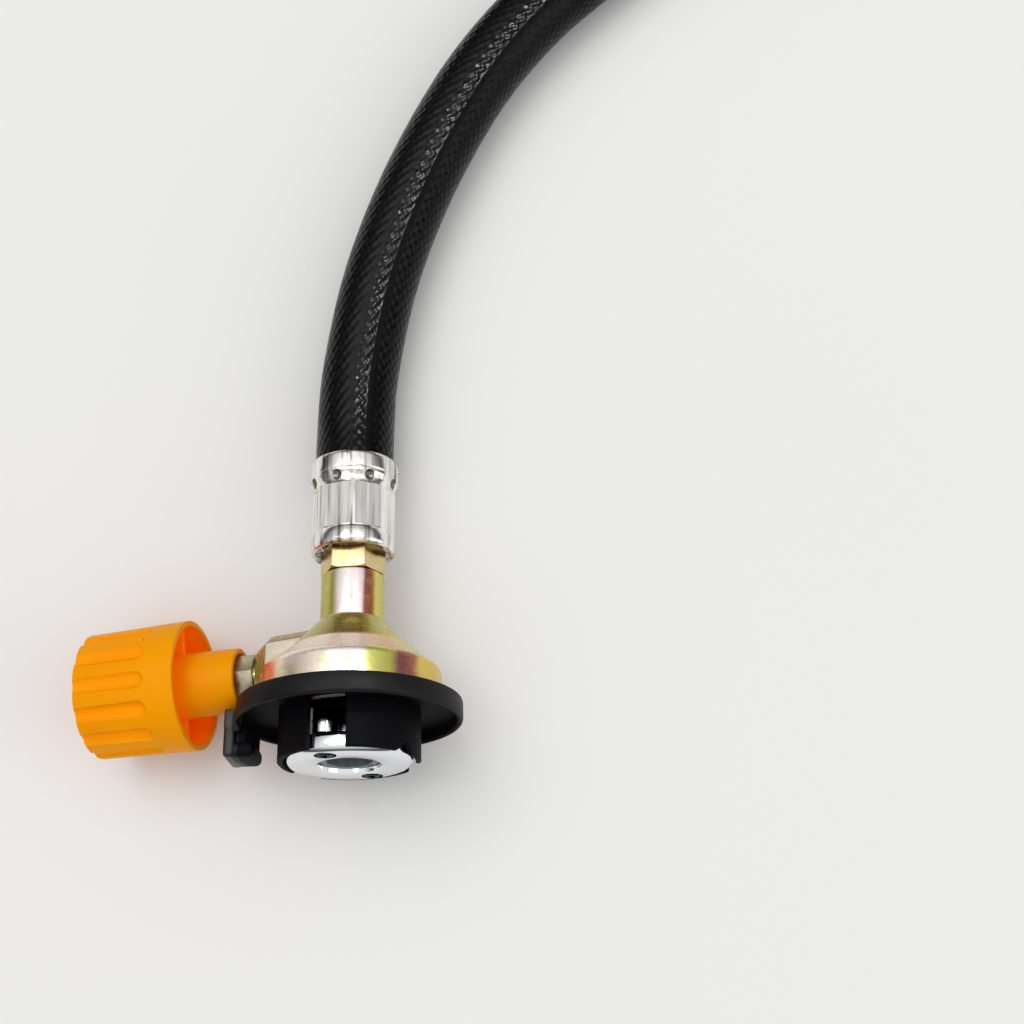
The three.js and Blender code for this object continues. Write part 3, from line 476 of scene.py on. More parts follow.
# %% Fine grain group
grain, grain_in, grain_out = new_group(
    "fine_grain",
    [("Vector", "Vector"), *((socket, "Float") for socket in ("Scale", "Smoothest", "Roughest", "Depth"))],
    [("Roughness", "Float"), ("Normal", "Vector")],
)
grain_noise = add_node(grain, "ShaderNodeTexNoise", {
    "Vector": grain_in.outputs["Vector"], "Scale": grain_in.outputs["Scale"], "Detail": 4.0, "Roughness": 0.6,
})
grain_range = add_node(grain, "ShaderNodeMapRange", {
    "Value": grain_noise.outputs[0], "From Min": 0.3, "From Max": 0.7,
    "To Min": grain_in.outputs["Smoothest"], "To Max": grain_in.outputs["Roughest"],
})
grain_bump = add_node(grain, "ShaderNodeBump", {
    "Height": grain_noise.outputs[0], "Distance": grain_in.outputs["Depth"], "Strength": 1.0,
})
grain.links.new(grain_range.outputs[0], grain_out.inputs["Roughness"])
grain.links.new(grain_bump.outputs[0], grain_out.inputs["Normal"])
print("group:", grain.name, [item.name for item in grain.interface.items_tree])

# %% [markdown]
# Turned coordinates next. Side runs from -1 at the far left of a turned piece to 1 at its right.
# Station is the distance along the axis and Radius the distance from it, both in millimetres.

# %% Turned coordinates group
lathe, lathe_in, lathe_out = new_group(
    "turned_coordinates", [("Vector", "Vector")], [(name, "Float") for name in ("Side", "Station", "Radius")],
)
parts = add_node(lathe, "ShaderNodeSeparateXYZ", {0: lathe_in.outputs[0]})
flat = add_node(lathe, "ShaderNodeCombineXYZ", {0: parts.outputs[0], 2: parts.outputs[2]})
reach = add_node(lathe, "ShaderNodeVectorMath", {0: flat.outputs[0]}, operation="LENGTH").outputs["Value"]
never_zero = arithmetic(lathe, "MAXIMUM", reach, 0.0001)
lathe.links.new(arithmetic(lathe, "DIVIDE", parts.outputs[0], never_zero), lathe_out.inputs["Side"])
lathe.links.new(arithmetic(lathe, "MULTIPLY", parts.outputs[1], 1 / MM), lathe_out.inputs["Station"])
lathe.links.new(arithmetic(lathe, "MULTIPLY", reach, 1 / MM), lathe_out.inputs["Radius"])
print("group:", lathe.name, [item.name for item in lathe.interface.items_tree])

# %% [markdown]
# ## Finishes
#
# Every finish starts as a Principled BSDF. Values that are the same all over are set on the shader
# itself, and only what changes over the surface is wired in.

# %% New finish
finishes = {}


def new_finish(name, slot, **values):
    material = bpy.data.materials.new(name)
    material.use_nodes = True
    tree = material.node_tree
    shader = tree.nodes["Principled BSDF"]
    for socket, value in values.items():
        shader.inputs[socket.replace("_", " ")].default_value = value
    finishes[name] = (material, slot)
    coordinates = tree.nodes.new("ShaderNodeTexCoord").outputs["Object"]
    return tree, shader, coordinates


def local(tree, coordinates, place):
    """Object coordinates in the frame of a piece that lies tilted."""
    return add_node(tree, "ShaderNodeMapping", {
        "Vector": coordinates, "Location": place.translation, "Rotation": place.to_euler(),
    }, vector_type="TEXTURE").outputs[0]


# %% [markdown]
# The two groups are placed with one call each. Three more helpers colour a surface: a ramp turns a
# value into a colour, a mix lays one colour over another, and a tone drifts between two colours.

# %% Grain and turned coordinates in a finish
def add_grain(tree, shader, vector, scale, smoothest, roughest, depth):
    node = add_node(tree, "ShaderNodeGroup", node_tree=grain)
    values = {"Scale": scale, "Smoothest": smoothest, "Roughest": roughest, "Depth": depth}
    for socket, value in values.items():
        node.inputs[socket].default_value = value
    tree.links.new(vector, node.inputs["Vector"])
    tree.links.new(node.outputs["Roughness"], shader.inputs["Roughness"])
    tree.links.new(node.outputs["Normal"], shader.inputs["Normal"])


def add_turned(tree, vector):
    return add_node(tree, "ShaderNodeGroup", {0: vector}, node_tree=lathe).outputs


# %% Ramp, mix, tone
def ramp(tree, factor, stops):
    """A colour ramp. Each stop is a position and a colour."""
    node = add_node(tree, "ShaderNodeValToRGB", {0: factor})
    band = node.color_ramp
    while len(band.elements) < len(stops):
        band.elements.new(1.0)
    for element, (position, colour) in zip(band.elements, stops):
        element.position = position
        element.color = colour
    return node.outputs[0]


def mix_colours(tree, factor, first, second):
    node = add_node(tree, "ShaderNodeMix", data_type="RGBA")
    for key, value in ((0, factor), (6, first), (7, second)):
        if isinstance(value, bpy.types.NodeSocket):
            tree.links.new(value, node.inputs[key])
        else:
            node.inputs[key].default_value = value
    return node.outputs[2]


def add_tone(tree, shader, vector, scale, dark, light, detail=3.0, roughness=0.5):
    """A base colour that drifts between two tones."""
    noise = add_node(tree, "ShaderNodeTexNoise", {
        "Vector": vector, "Scale": scale, "Detail": detail, "Roughness": roughness,
    })
    tone = ramp(tree, noise.outputs[0], [(0.3, srgb(*dark)), (0.7, srgb(*light))])
    tree.links.new(tone, shader.inputs["Base Color"])


# %% [markdown]
# The body is a zinc casting with a yellow chromate film. The film is thin enough to show
# interference colours: olive and yellow-green on the flanks, and a dark red stripe to the right of
# the top. The pinkish white along the top is painted light: a painted reflection of the bright sky.
# The bands follow the turned shape, so a colour ramp reads the Side coordinate, disturbed by a slow
# noise. The film changes at each edge of the casting, so rim, cone, flare and neck have a ramp each,
# and the boss has one that reads its height, with a painted highlight along its top.

# %% The film's bands
def bands(*stops):
    return [(position, srgb(*colour)) for position, *colour in stops]


# The near-white stops in the middle of the rim's, cone's and neck's ramps lie along the top: a painted
# reflection of the bright sky.
RIM_BANDS = bands(
    (0.00, 226, 120, 40), (0.08, 228, 156, 104), (0.17, 247, 224, 206), (0.60, 250, 238, 228),
    (0.65, 206, 208, 110), (0.75, 204, 198, 96), (0.79, 164, 104, 98), (0.87, 168, 104, 84),
    (0.90, 224, 190, 90), (1.00, 214, 184, 72),
)
CONE_BANDS = bands(
    (0.00, 206, 186, 120), (0.25, 246, 226, 208), (0.62, 250, 228, 214), (0.76, 238, 186, 140),
    (0.88, 216, 204, 118), (1.00, 206, 198, 104),
)
FLARE_BANDS = bands(
    (0.00, 206, 200, 122), (0.25, 172, 160, 78), (0.40, 136, 116, 44), (0.64, 136, 112, 40),
    (0.76, 186, 174, 84), (1.00, 212, 206, 118),
)
NECK_BANDS = bands(
    (0.00, 176, 172, 74), (0.24, 190, 186, 96), (0.33, 250, 236, 230), (0.70, 250, 232, 228),
    (0.745, 170, 96, 84), (0.86, 184, 120, 68), (0.90, 210, 204, 106), (1.00, 194, 188, 88),
)
# The boss is coloured by height only; the near-white at the very top is a painted highlight.
BOSS_BANDS = bands(
    (0.00, 160, 120, 48), (0.60, 176, 152, 68), (0.90, 158, 124, 50), (0.965, 146, 98, 44),
    (0.99, 244, 234, 212),
)
print("bands on the rim:", len(RIM_BANDS), "on the boss:", len(BOSS_BANDS))

# %% [markdown]
# One ramp gives way to the next at a station along the axis, over a few tenths of a millimetre.
# Another noise lets green and pink patches through. The shallow cone would mirror the bright sky
# into the camera, so it is made less metallic than the rest.

# %% Step and patches
def step(tree, value, low, high):
    """Rises smoothly from 0 to 1 between two values."""
    links = {"Value": value, "From Min": low, "From Max": high}
    return add_node(tree, "ShaderNodeMapRange", links, interpolation_type="SMOOTHSTEP").outputs[0]


def grey(level):
    return (level, level, level, 1)


def add_patches(tree, vector, film_and_painted_light):
    noise = add_node(tree, "ShaderNodeTexNoise", {
        "Vector": vector, "Scale": 260.0, "Detail": 5.0, "Roughness": 0.65,
    })
    green = ramp(tree, noise.outputs[0], [(0.54, grey(0)), (0.70, grey(0.6))])
    pink = ramp(tree, noise.outputs[0], [(0.30, grey(0.55)), (0.44, grey(0))])
    film_and_painted_light = mix_colours(tree, green, film_and_painted_light, srgb(204, 202, 104))
    return mix_colours(tree, pink, film_and_painted_light, srgb(226, 166, 150))


# %% Chromate film on the turned shape
RIM_EDGE, CREASE, NECK_START = (9.1, 9.5), (12.9, 13.6), (18.7, 19.1)
FILM_METAL, CONE_METAL_LOSS = 0.62, 0.4
WANDER = 0.16
FILM_GRAIN = (1400.0, 0.2, 0.32, 0.000002)

tree, shader, place = new_finish(
    "yellow_chromate", "chromate", Metallic=FILM_METAL, Specular_IOR_Level=0.4,
)
here = local(tree, place, regulator_frame)
turned = add_turned(tree, here)
slow = add_node(tree, "ShaderNodeTexNoise", {
    "Vector": here, "Scale": 150.0, "Detail": 3.0, "Roughness": 0.55,
})
drift = arithmetic(tree, "MULTIPLY", arithmetic(tree, "SUBTRACT", slow.outputs[0], 0.5), WANDER)
across = arithmetic(tree, "MULTIPLY_ADD", arithmetic(tree, "ADD", turned["Side"], drift), 0.5, 0.5)
past_rim, past_crease, past_flare = (
    step(tree, turned["Station"], *edge) for edge in (RIM_EDGE, CREASE, NECK_START)
)
# Painted reflection: these ramps put the sky's near-white along the top of the turned body.
film_and_painted_light = ramp(tree, across, RIM_BANDS)
film_and_painted_light = mix_colours(tree, past_rim, film_and_painted_light, ramp(tree, across, CONE_BANDS))
film_and_painted_light = mix_colours(tree, past_crease, film_and_painted_light, ramp(tree, across, FLARE_BANDS))
film_and_painted_light = mix_colours(tree, past_flare, film_and_painted_light, ramp(tree, across, NECK_BANDS))
tree.links.new(add_patches(tree, here, film_and_painted_light), shader.inputs["Base Color"])
on_cone = arithmetic(tree, "SUBTRACT", past_rim, past_crease)
metal = arithmetic(tree, "MULTIPLY_ADD", on_cone, -CONE_METAL_LOSS, FILM_METAL)
tree.links.new(metal, shader.inputs["Metallic"])
add_grain(tree, shader, here, *FILM_GRAIN)
print("finish:", list(finishes)[-1])

# %% Chromate film on the boss
BOSS_HALF_HEIGHT, BOSS_METAL = 6.2, 0.35

tree, shader, place = new_finish(
    "yellow_chromate_boss", "chromate", Metallic=BOSS_METAL, Specular_IOR_Level=0.4,
)
here = local(tree, place, valve_frame)
beside = add_node(tree, "ShaderNodeSeparateXYZ", {0: here})
level = arithmetic(tree, "MULTIPLY", beside.outputs[2], 1 / MM / BOSS_HALF_HEIGHT)
# Painted highlight: the ramp turns near-white at the top of the boss.
film_and_painted_light = ramp(tree, level, BOSS_BANDS)
tree.links.new(add_patches(tree, here, film_and_painted_light), shader.inputs["Base Color"])
add_grain(tree, shader, here, *FILM_GRAIN)
print("finish:", list(finishes)[-1])

# %% [markdown]
# The bright parts. The face plate is nickel plated and nearly a mirror. The ferrule is plated
# steel, drawn through a die along its length, so its streaks are stretched along the axis. The
# hexagons, the swivel nut and the spindle are bare brass, and the inner parts are plain steel.

# %% Nickel, tin, brass, steel
STRETCH = (1.0, 0.06, 1.0)

tree, shader, place = new_finish(
    "bright_nickel", "nickel", Base_Color=srgb(236, 238, 240), Metallic=1.0,
)
add_grain(tree, shader, local(tree, place, regulator_frame), 420.0, 0.05, 0.12, 0.000004)

tree, shader, place = new_finish("drawn_tin", "tin", Metallic=1.0)
here = local(tree, place, regulator_frame)
stretched = add_node(tree, "ShaderNodeMapping", {"Vector": here, "Scale": STRETCH}).outputs[0]
streaks = add_node(tree, "ShaderNodeTexNoise", {"Vector": stretched, "Scale": 900.0, "Detail": 4.0})
streaked = ramp(tree, streaks.outputs[0], bands(
    (0.32, 132, 125, 118), (0.42, 206, 200, 193), (0.52, 238, 234, 229), (0.66, 252, 249, 246),
))
tree.links.new(streaked, shader.inputs["Base Color"])
add_grain(tree, shader, stretched, 1500.0, 0.1, 0.26, 0.00001)

tree, shader, place = new_finish("turned_brass", "brass", Metallic=1.0)
add_tone(tree, shader, place, 260.0, (204, 177, 120), (222, 200, 150))
add_grain(tree, shader, place, 1800.0, 0.16, 0.3, 0.000008)

tree, shader, place = new_finish("plain_steel", "steel", Metallic=1.0)
add_tone(tree, shader, place, 300.0, (150, 152, 154), (206, 208, 210))
add_grain(tree, shader, place, 1600.0, 0.18, 0.36, 0.00001)
print("finishes:", list(finishes))

# %% [markdown]
# Four smaller finishes belong to them: the screws, coloured near-black as painted shade for their
# heads deep in the countersinks; the dull gland nut; the dimples of the ferrule, painted darker as
# the shade that the dents catch; and the flange, which is bright where the plate's hole shows it
# and painted dark further back, for the shade behind the plate. Three of them differ only in tone and gloss.

# %% Screws, gland, dimples, flange
SHADE_FROM, SHADE_TO = -2.4, -1.6

for name, slot, dark, light, smoothest in (
    # The screws' near-black is painted shade, for their heads deep in the countersinks.
    ("dark_screw", "nickel", (26, 27, 30), (52, 54, 58), 0.3),
    ("grey_gland", "nickel", (158, 150, 124), (214, 206, 172), 0.24),
    ("painted_dimple_shade", "tin", (92, 86, 80), (136, 129, 122), 0.26),
):
    tree, shader, place = new_finish(name, slot, Metallic=0.9)
    add_tone(tree, shader, place, 320.0, dark, light)
    add_grain(tree, shader, place, 1700.0, smoothest, smoothest + 0.16, 0.00001)

tree, shader, place = new_finish("flange_steel", "steel", Metallic=1.0)
here = local(tree, place, regulator_frame)
# Painted shade: behind this station the flange is coloured near-black for the shade behind the plate.
shaded = step(tree, add_turned(tree, here)["Station"], SHADE_FROM, SHADE_TO)
bright_to_dark = mix_colours(tree, shaded, srgb(226, 228, 230), srgb(16, 16, 18))
tree.links.new(bright_to_dark, shader.inputs["Base Color"])
add_grain(tree, shader, here, 500.0, 0.08, 0.2, 0.00001)
print("finishes:", list(finishes)[-4:])

# %% [markdown]
# The knob is orange plastic with a soft gloss. Light goes a little way into it, so some subsurface
# scattering makes its shaded sides a warm red-orange. Light also comes through the thin shell and
# warms the hollow. A faint emission, only inside the shell, stands in for that.

# %% Orange plastic
HOLLOW_FROM, SHELL_INSIDE = (29.0, 31.0), (11.3, 10.9)
HOLLOW_GLOW = (0.14, 0.009, 0.0, 1)

tree, shader, place = new_finish(
    "orange_plastic", "orange_plastic", Subsurface_Weight=0.3, Subsurface_Radius=(1.0, 0.5, 0.1),
    Subsurface_Scale=0.001, Specular_IOR_Level=0.05, Emission_Strength=1.0,
)
turned = add_turned(tree, local(tree, place, valve_frame))
past_mouth = step(tree, turned["Station"], *HOLLOW_FROM)
within = step(tree, turned["Radius"], *SHELL_INSIDE)
inside = arithmetic(tree, "MULTIPLY", past_mouth, within)
tree.links.new(mix_colours(tree, inside, grey(0), HOLLOW_GLOW), shader.inputs["Emission Color"])
add_tone(tree, shader, place, 90.0, (247, 153, 0), (250, 163, 0))
add_grain(tree, shader, place, 2200.0, 0.3, 0.42, 0.000012)
print("finish:", list(finishes)[-1])

# %% [markdown]
# The ring is black plastic with a fine spark-eroded grain. It is nearly matt, but its rim and the
# finger tab are handled and a little polished. A coat gives that: it comes in at the rim's radius
# and again at the tab's, which stands further out. The seals are black rubber; the nozzle gasket's
# blue-grey is painted light, for the lit look inside the plate's hole.

# %% Black plastic and seal rubber
RIM_POLISH_AT, RIM_POLISH = (19.6, 19.9), 0.3
TAB_POLISH_AT, TAB_POLISH = (20.6, 21.0), 0.6

tree, shader, place = new_finish(
    "black_plastic", "black_plastic", Specular_IOR_Level=0.06, Coat_Roughness=0.45,
)
turned = add_turned(tree, local(tree, place, regulator_frame))
on_rim = arithmetic(tree, "MULTIPLY", step(tree, turned["Radius"], *RIM_POLISH_AT), RIM_POLISH)
on_tab = step(tree, turned["Radius"], *TAB_POLISH_AT)
polished = arithmetic(tree, "MULTIPLY_ADD", on_tab, TAB_POLISH, on_rim)
tree.links.new(polished, shader.inputs["Coat Weight"])
add_tone(tree, shader, place, 140.0, (7, 7, 9), (12, 12, 16), 4.0, 0.6)
add_grain(tree, shader, place, 2400.0, 0.5, 0.66, 0.00001)

tree, shader, place = new_finish("seal_rubber", "rubber", Specular_IOR_Level=0.2)
add_tone(tree, shader, place, 500.0, (8, 8, 9), (16, 16, 18))
add_grain(tree, shader, place, 2000.0, 0.45, 0.65, 0.00002)

# Painted light: the gasket is a black rubber seal, made blue-grey for the lit inside of the plate's hole.
tree, shader, place = new_finish("seal_painted_lit_grey", "rubber", Specular_IOR_Level=0.5)
add_tone(tree, shader, place, 600.0, (74, 84, 88), (108, 120, 124))
add_grain(tree, shader, place, 2000.0, 0.25, 0.4, 0.00001)
print("finishes:", list(finishes)[-3:])

# %% [markdown]
# The hose was cured in a wrapping of cloth, which left a fine diagonal weave in the rubber. Two
# wave textures on the hose's own UV map, one for each thread direction, are added to make it. A
# narrow strip along the hose stays smooth. The bumps tilt the gloss, so the highlight breaks up into
# glints, and a noise in the roughness lets them come and go.

# %% Hose rubber
THREADS = ((34, 0.58), (-40, 0.42))  # degrees from the hose's length, and share of the height
THREAD_SCALE, WEAVE_DEPTH = 205.0, 0.00009
STRIP_AT, STRIP_EDGE = 0.0034, (0.0005, 0.001)

tree, shader, _ = new_finish("hose_rubber", "hose_rubber", Specular_IOR_Level=0.12)
uv = add_node(tree, "ShaderNodeUVMap", uv_map="round_and_along").outputs[0]
round_way = add_node(tree, "ShaderNodeSeparateXYZ", {0: uv}).outputs[0]
from_strip = arithmetic(tree, "ABSOLUTE", arithmetic(tree, "SUBTRACT", round_way, STRIP_AT))
woven = step(tree, from_strip, *STRIP_EDGE)
threads = []
for angle, strength in THREADS:
    turned_uv = add_node(tree, "ShaderNodeMapping", {"Vector": uv, "Rotation": (0, 0, math.radians(angle))})
    wave = add_node(tree, "ShaderNodeTexWave", {
        "Vector": turned_uv.outputs[0], "Scale": THREAD_SCALE, "Distortion": 1.0, "Detail": 1.0,
        "Detail Scale": 1.5,
    })
    threads.append(arithmetic(tree, "MULTIPLY", wave.outputs["Fac"], strength))
weave = arithmetic(tree, "MULTIPLY", arithmetic(tree, "ADD", *threads), woven)
rubber = ramp(tree, weave, bands((0.1, 2, 2, 3), (0.7, 8, 8, 9), (1.0, 14, 14, 16)))
tree.links.new(rubber, shader.inputs["Base Color"])
wear = add_node(tree, "ShaderNodeTexNoise", {
    "Vector": uv, "Scale": 300.0, "Detail": 3.0, "Roughness": 0.6,
})
gloss = add_node(tree, "ShaderNodeMapRange", {
    "Value": wear.outputs[0], "From Min": 0.42, "From Max": 0.66, "To Min": 0.19, "To Max": 0.36,
})
tree.links.new(gloss.outputs[0], shader.inputs["Roughness"])
bump = add_node(tree, "ShaderNodeBump", {"Height": weave, "Distance": WEAVE_DEPTH, "Strength": 1.0})
tree.links.new(bump.outputs[0], shader.inputs["Normal"])
print("finishes:", len(finishes))

# %% [markdown]
# ## Putting a piece in place
#
# A finished piece is moved from its working frame to the table, its place is applied to the mesh,
# it is parented to an empty for the CAD body it rides on, and the CAD nodes it stands for are
# hidden. A piece whose faces already have their finishes keeps them. The hose was made in its
# place, so it only needs the rest.

# %% Finish a piece
def place_piece(obj, place, body, finish, *nodes, smooth=35):
    obj.matrix_world = place
    settle(obj)
    bpy.ops.object.shade_smooth_by_angle(angle=math.radians(smooth))
    material, slot = finishes[finish]
    if not any(obj.data.materials):
        obj.data.materials.clear()
        obj.data.materials.append(material)
    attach(obj, body)
    if nodes:
        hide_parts(*nodes)
    faces = sum(len(face.vertices) - 2 for face in obj.data.polygons)
    print(f"{obj.name}: {faces} triangles, on {body}")
    return obj


# %% The hose on its body
for face in hose.data.polygons:
    face.use_smooth = True
hose.data.materials.append(finishes["hose_rubber"][0])
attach(hose, "regulator")
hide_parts("hose_run", "hose_coil")
print("hose faces:", len(hose.data.polygons))

# %% [markdown]
# ## Body
#
# The body is turned first: a low rim with a rounded edge, a flat cone, a concave flare and a long
# neck. Inside, it is open towards the ring, as the real one is, for the diaphragm. The flare is a
# quadratic curve between the cone's crease and the neck's foot.

# %% Body: turned shape
RIM_RADIUS, BODY_FRONT, RIM_TOP = 16.4, 4.1, 9.25
CONE_RADIUS, CONE_AT = 11.6, 12.95
FLARE_RADIUS, FLARE_AT = 11.1, 13.6
NECK_RADIUS, NECK_FOOT, NECK_END = 5.85, 19.2, 28.0
GAS_WAY_RADIUS, GAS_WAY_END = 4.1, 20.8
ROOM_RADIUS, ROOM_STEP, ROOM_STEP_RADIUS, ROOM_END = 15.2, 6.75, 13.2, 7.55


def curve(first, middle, last, steps):
    points = []
    for i in range(steps + 1):
        t = i / steps
        points.append(tuple(
            a * (1 - t) ** 2 + 2 * b * t * (1 - t) + c * t * t for a, b, c in zip(first, middle, last)
        ))
    return points


rim_edge = curve((RIM_RADIUS, RIM_TOP - 0.9), (RIM_RADIUS - 0.05, RIM_TOP + 0.1), (15.5, RIM_TOP + 0.42), 5)
crease = curve((12.3, 12.35), (CONE_RADIUS, CONE_AT), (FLARE_RADIUS, FLARE_AT), 4)
flare = curve((FLARE_RADIUS, FLARE_AT), (7.77, 16.95), (NECK_RADIUS, NECK_FOOT), 12)[1:]
neck_end = curve((NECK_RADIUS, NECK_END - 0.5), (NECK_RADIUS, NECK_END), (NECK_RADIUS - 0.5, NECK_END), 3)
body = revolve("body_casting", [
    (0, ROOM_END), (ROOM_STEP_RADIUS, ROOM_END), (ROOM_STEP_RADIUS, ROOM_STEP), (ROOM_RADIUS, ROOM_STEP),
    (ROOM_RADIUS, BODY_FRONT), (RIM_RADIUS - 0.35, BODY_FRONT), (RIM_RADIUS, BODY_FRONT + 0.35),
    *rim_edge, *crease, *flare, *neck_end,
    (GAS_WAY_RADIUS, NECK_END), (GAS_WAY_RADIUS, GAS_WAY_END), (0, GAS_WAY_END),
], 128)
print("body faces:", len(body.data.polygons))

# %% [markdown]
# The valve sits in a boss with cut corners on the left side. It is a block about the valve's axis.
# It narrows towards its end as a casting does, and its long edges are bevelled in edit mode. Then
# every edge is rounded a little, and the block is cut off flush with the body's front.

# %% Body: valve boss
BOSS_HALF_WIDTH, BOSS_CHAMFER, BOSS_END, BOSS_DRAFT = 7.2, 3.0, 17.2, 0.9

boss = block(
    "valve_boss", (-BOSS_HALF_WIDTH, 2, -BOSS_HALF_HEIGHT), (BOSS_HALF_WIDTH, BOSS_END, BOSS_HALF_HEIGHT),
)
for corner in boss.data.vertices:
    if corner.co.y > 10 * MM:
        corner.co.x -= math.copysign(BOSS_DRAFT * MM, corner.co.x)
bpy.ops.object.mode_set(mode="EDIT")
bpy.ops.mesh.select_all(action="DESELECT")
bpy.ops.object.mode_set(mode="OBJECT")
for edge in boss.data.edges:
    ends = [boss.data.vertices[v].co for v in edge.vertices]
    edge.select = abs(ends[0].y - ends[1].y) > MM
bpy.ops.object.mode_set(mode="EDIT")
bpy.ops.mesh.select_mode(type="EDGE")
bpy.ops.mesh.bevel(offset=BOSS_CHAMFER * MM, offset_type="OFFSET", segments=1, affect="EDGES")
bpy.ops.mesh.select_mode(type="VERT")
bpy.ops.object.mode_set(mode="OBJECT")
soften(boss, 0.35, 30, 2)
boss.matrix_world = regulator_frame.inverted() @ valve_frame
settle(boss)
bpy.ops.object.mode_set(mode="EDIT")
bpy.ops.mesh.select_all(action="SELECT")
bpy.ops.mesh.bisect(plane_co=(0, BODY_FRONT * MM, 0), plane_no=(0, 1, 0), use_fill=True, clear_inner=True)
bpy.ops.object.mode_set(mode="OBJECT")
print("boss faces:", len(boss.data.polygons))

# %% [markdown]
# The boss is welded on, the diaphragm's room is cut again where the boss ran into it, and the
# gland's bore is drilled along the valve's axis.

# %% Body: weld and drill
body.data.materials.append(finishes["yellow_chromate"][0])
boss.data.materials.append(finishes["yellow_chromate_boss"][0])
weld(body, boss)
room = revolve("diaphragm_room", [
    (0, 3.0), (ROOM_RADIUS, 3.0), (ROOM_RADIUS, ROOM_STEP), (ROOM_STEP_RADIUS, ROOM_STEP),
    (ROOM_STEP_RADIUS, ROOM_END), (0, ROOM_END),
], 128)
drill = bar("gland_drill", 3.2, 13.3, 19.0, 48)
drill.matrix_world = regulator_frame.inverted() @ valve_frame
carve(body, room, settle(drill))
place_piece(body, regulator_frame, "regulator", "yellow_chromate", "body_housing", smooth=32)

# %% [markdown]
# ## Lock ring
#
# A shallow cup with three claws that stand forward round the face plate, moulded in one piece with a
# finger tab at its left. The cup and the claws are turned. The gaps between the claws are cut with
# wedges, and one claw has a small notch, cut with a cube that stands on its edge.

# %% Lock ring: cup and claws
RING_RADIUS, RING_BORE, RING_HEIGHT, RING_FLOOR = 20.2, 10.95, 3.75, 2.35
CLAW_INNER, CLAW_OUTER, CLAW_REACH = 11.65, 12.65, 7.2
CLAW_GAPS, CLAW_GAP_WIDTH = (102.5, 222.5, 337.5), 32.0
NOTCH_ANGLE, NOTCH_HALF = 33.0, 1.7

ring = revolve("ring_moulding", [
    (RING_BORE, RING_FLOOR + 0.2), (RING_BORE + 0.2, RING_FLOOR), (18.7, RING_FLOOR),
    (19.0, RING_FLOOR - 0.1), (19.1, RING_FLOOR - 0.4), (19.1, 0.35), (19.3, 0.08), (19.55, 0),
    (19.9, 0.06), (20.12, 0.3), (RING_RADIUS, 0.6), (RING_RADIUS, RING_HEIGHT - 0.5),
    (20.1, RING_HEIGHT - 0.15), (19.85, RING_HEIGHT), (RING_BORE + 0.2, RING_HEIGHT),
    (RING_BORE, RING_HEIGHT - 0.2),
], 144)
claws = revolve("claws", [
    (CLAW_INNER, -CLAW_REACH + 0.2), (CLAW_INNER + 0.2, -CLAW_REACH), (CLAW_OUTER - 0.3, -CLAW_REACH),
    (CLAW_OUTER, -CLAW_REACH + 0.3), (CLAW_OUTER, RING_FLOOR + 0.4), (CLAW_INNER, RING_FLOOR + 0.4),
], 144)
wedges = []
for angle in CLAW_GAPS:
    wedge = block("gap", (0, -CLAW_REACH - 1, 0), (18, RING_FLOOR, 0.01))
    for corner in wedge.data.vertices:
        side = 1 if corner.co.z > 0.005 * MM else -1
        corner.co.z = side * corner.co.x * math.tan(math.radians(CLAW_GAP_WIDTH / 2)) + side * 1e-6
    wedge.rotation_euler = (0, -math.radians(angle), 0)
    wedges.append(settle(wedge))
notch = block("notch", (-NOTCH_HALF,) * 3, (NOTCH_HALF,) * 3)
notch.rotation_euler = (math.radians(45), 0, 0)
settle(notch)
notch.matrix_world = Matrix.Rotation(-math.radians(NOTCH_ANGLE), 4, "Y") @ Matrix.Translation(
    Vector((CLAW_OUTER - 0.4, -CLAW_REACH - 0.2, 0)) * MM
)
carve(claws, *wedges, settle(notch))
print("claw faces:", len(claws.data.polygons))

# %% [markdown]
# The finger tab hangs from the cup's rim: an outer wall, and in front of it a block that the finger
# pushes. Its outer blocks are rounded with Bevel before they are welded on. The root and the arm
# join them to the cup, and bars cut them to its curve.

# %% Lock ring: finger tab
TAB_REACH, TAB_LOW, TAB_HIGH = 22.3, -7.47, 1.53
TAB_WALL, TAB_TOP, TAB_END, TAB_INNER, FINGER_TOP = 1.5, 3.15, 5.5, 16.7, -2.7
ROOT_INNER = 17.37

tab_wall = block("tab_wall", (-TAB_REACH, -0.5, TAB_LOW), (-TAB_REACH + TAB_WALL, TAB_TOP, TAB_HIGH))
grip = block("grip", (-TAB_REACH, -TAB_END, TAB_LOW), (-TAB_REACH + TAB_WALL + 0.7, 0.3, TAB_HIGH))
finger = block("finger", (-TAB_REACH + 1, -TAB_END, TAB_LOW), (-TAB_INNER, FINGER_TOP, TAB_HIGH))
for shape, rounding in ((tab_wall, 0.4), (grip, 0.7), (finger, 1.1)):
    soften(shape, rounding, 30, 4)
root = block(
    "root", (-TAB_REACH + 0.5, -1, TAB_LOW + 0.05), (-ROOT_INNER, TAB_TOP - 0.3, TAB_HIGH - 0.05),
)
arm = block(
    "arm", (-TAB_REACH + 1, FINGER_TOP - 0.5, TAB_LOW + 0.05), (-ROOT_INNER, 0.5, TAB_HIGH - 1.2),
)
carve(root, bar("root_cut", 19.3, -3, 6, 96))
carve(arm, bar("arm_cut", 18.7, -7, 6, 96))
weld(ring, claws, root, arm, grip, tab_wall, finger)
place_piece(ring, regulator_frame, "lock_ring", "black_plastic", "lock_ring", smooth=32)

# %% [markdown]
# ## Face plate
#
# The bright disc in front: a wide chamfer round its edge, a hole for the canister's nozzle and two
# countersunk holes for screws.

# %% Face plate and gasket
PLATE_FRONT, PLATE_BACK = -7.6, -4.2
SCREW_CIRCLE, SCREW_ANGLES, SCREW_HOLE = 8.6, (112, 292), 1.5


def at_screws(name, radius, low, high, sides):
    return [bar(name, radius, low, high, sides, away=SCREW_CIRCLE, angle=angle) for angle in SCREW_ANGLES]


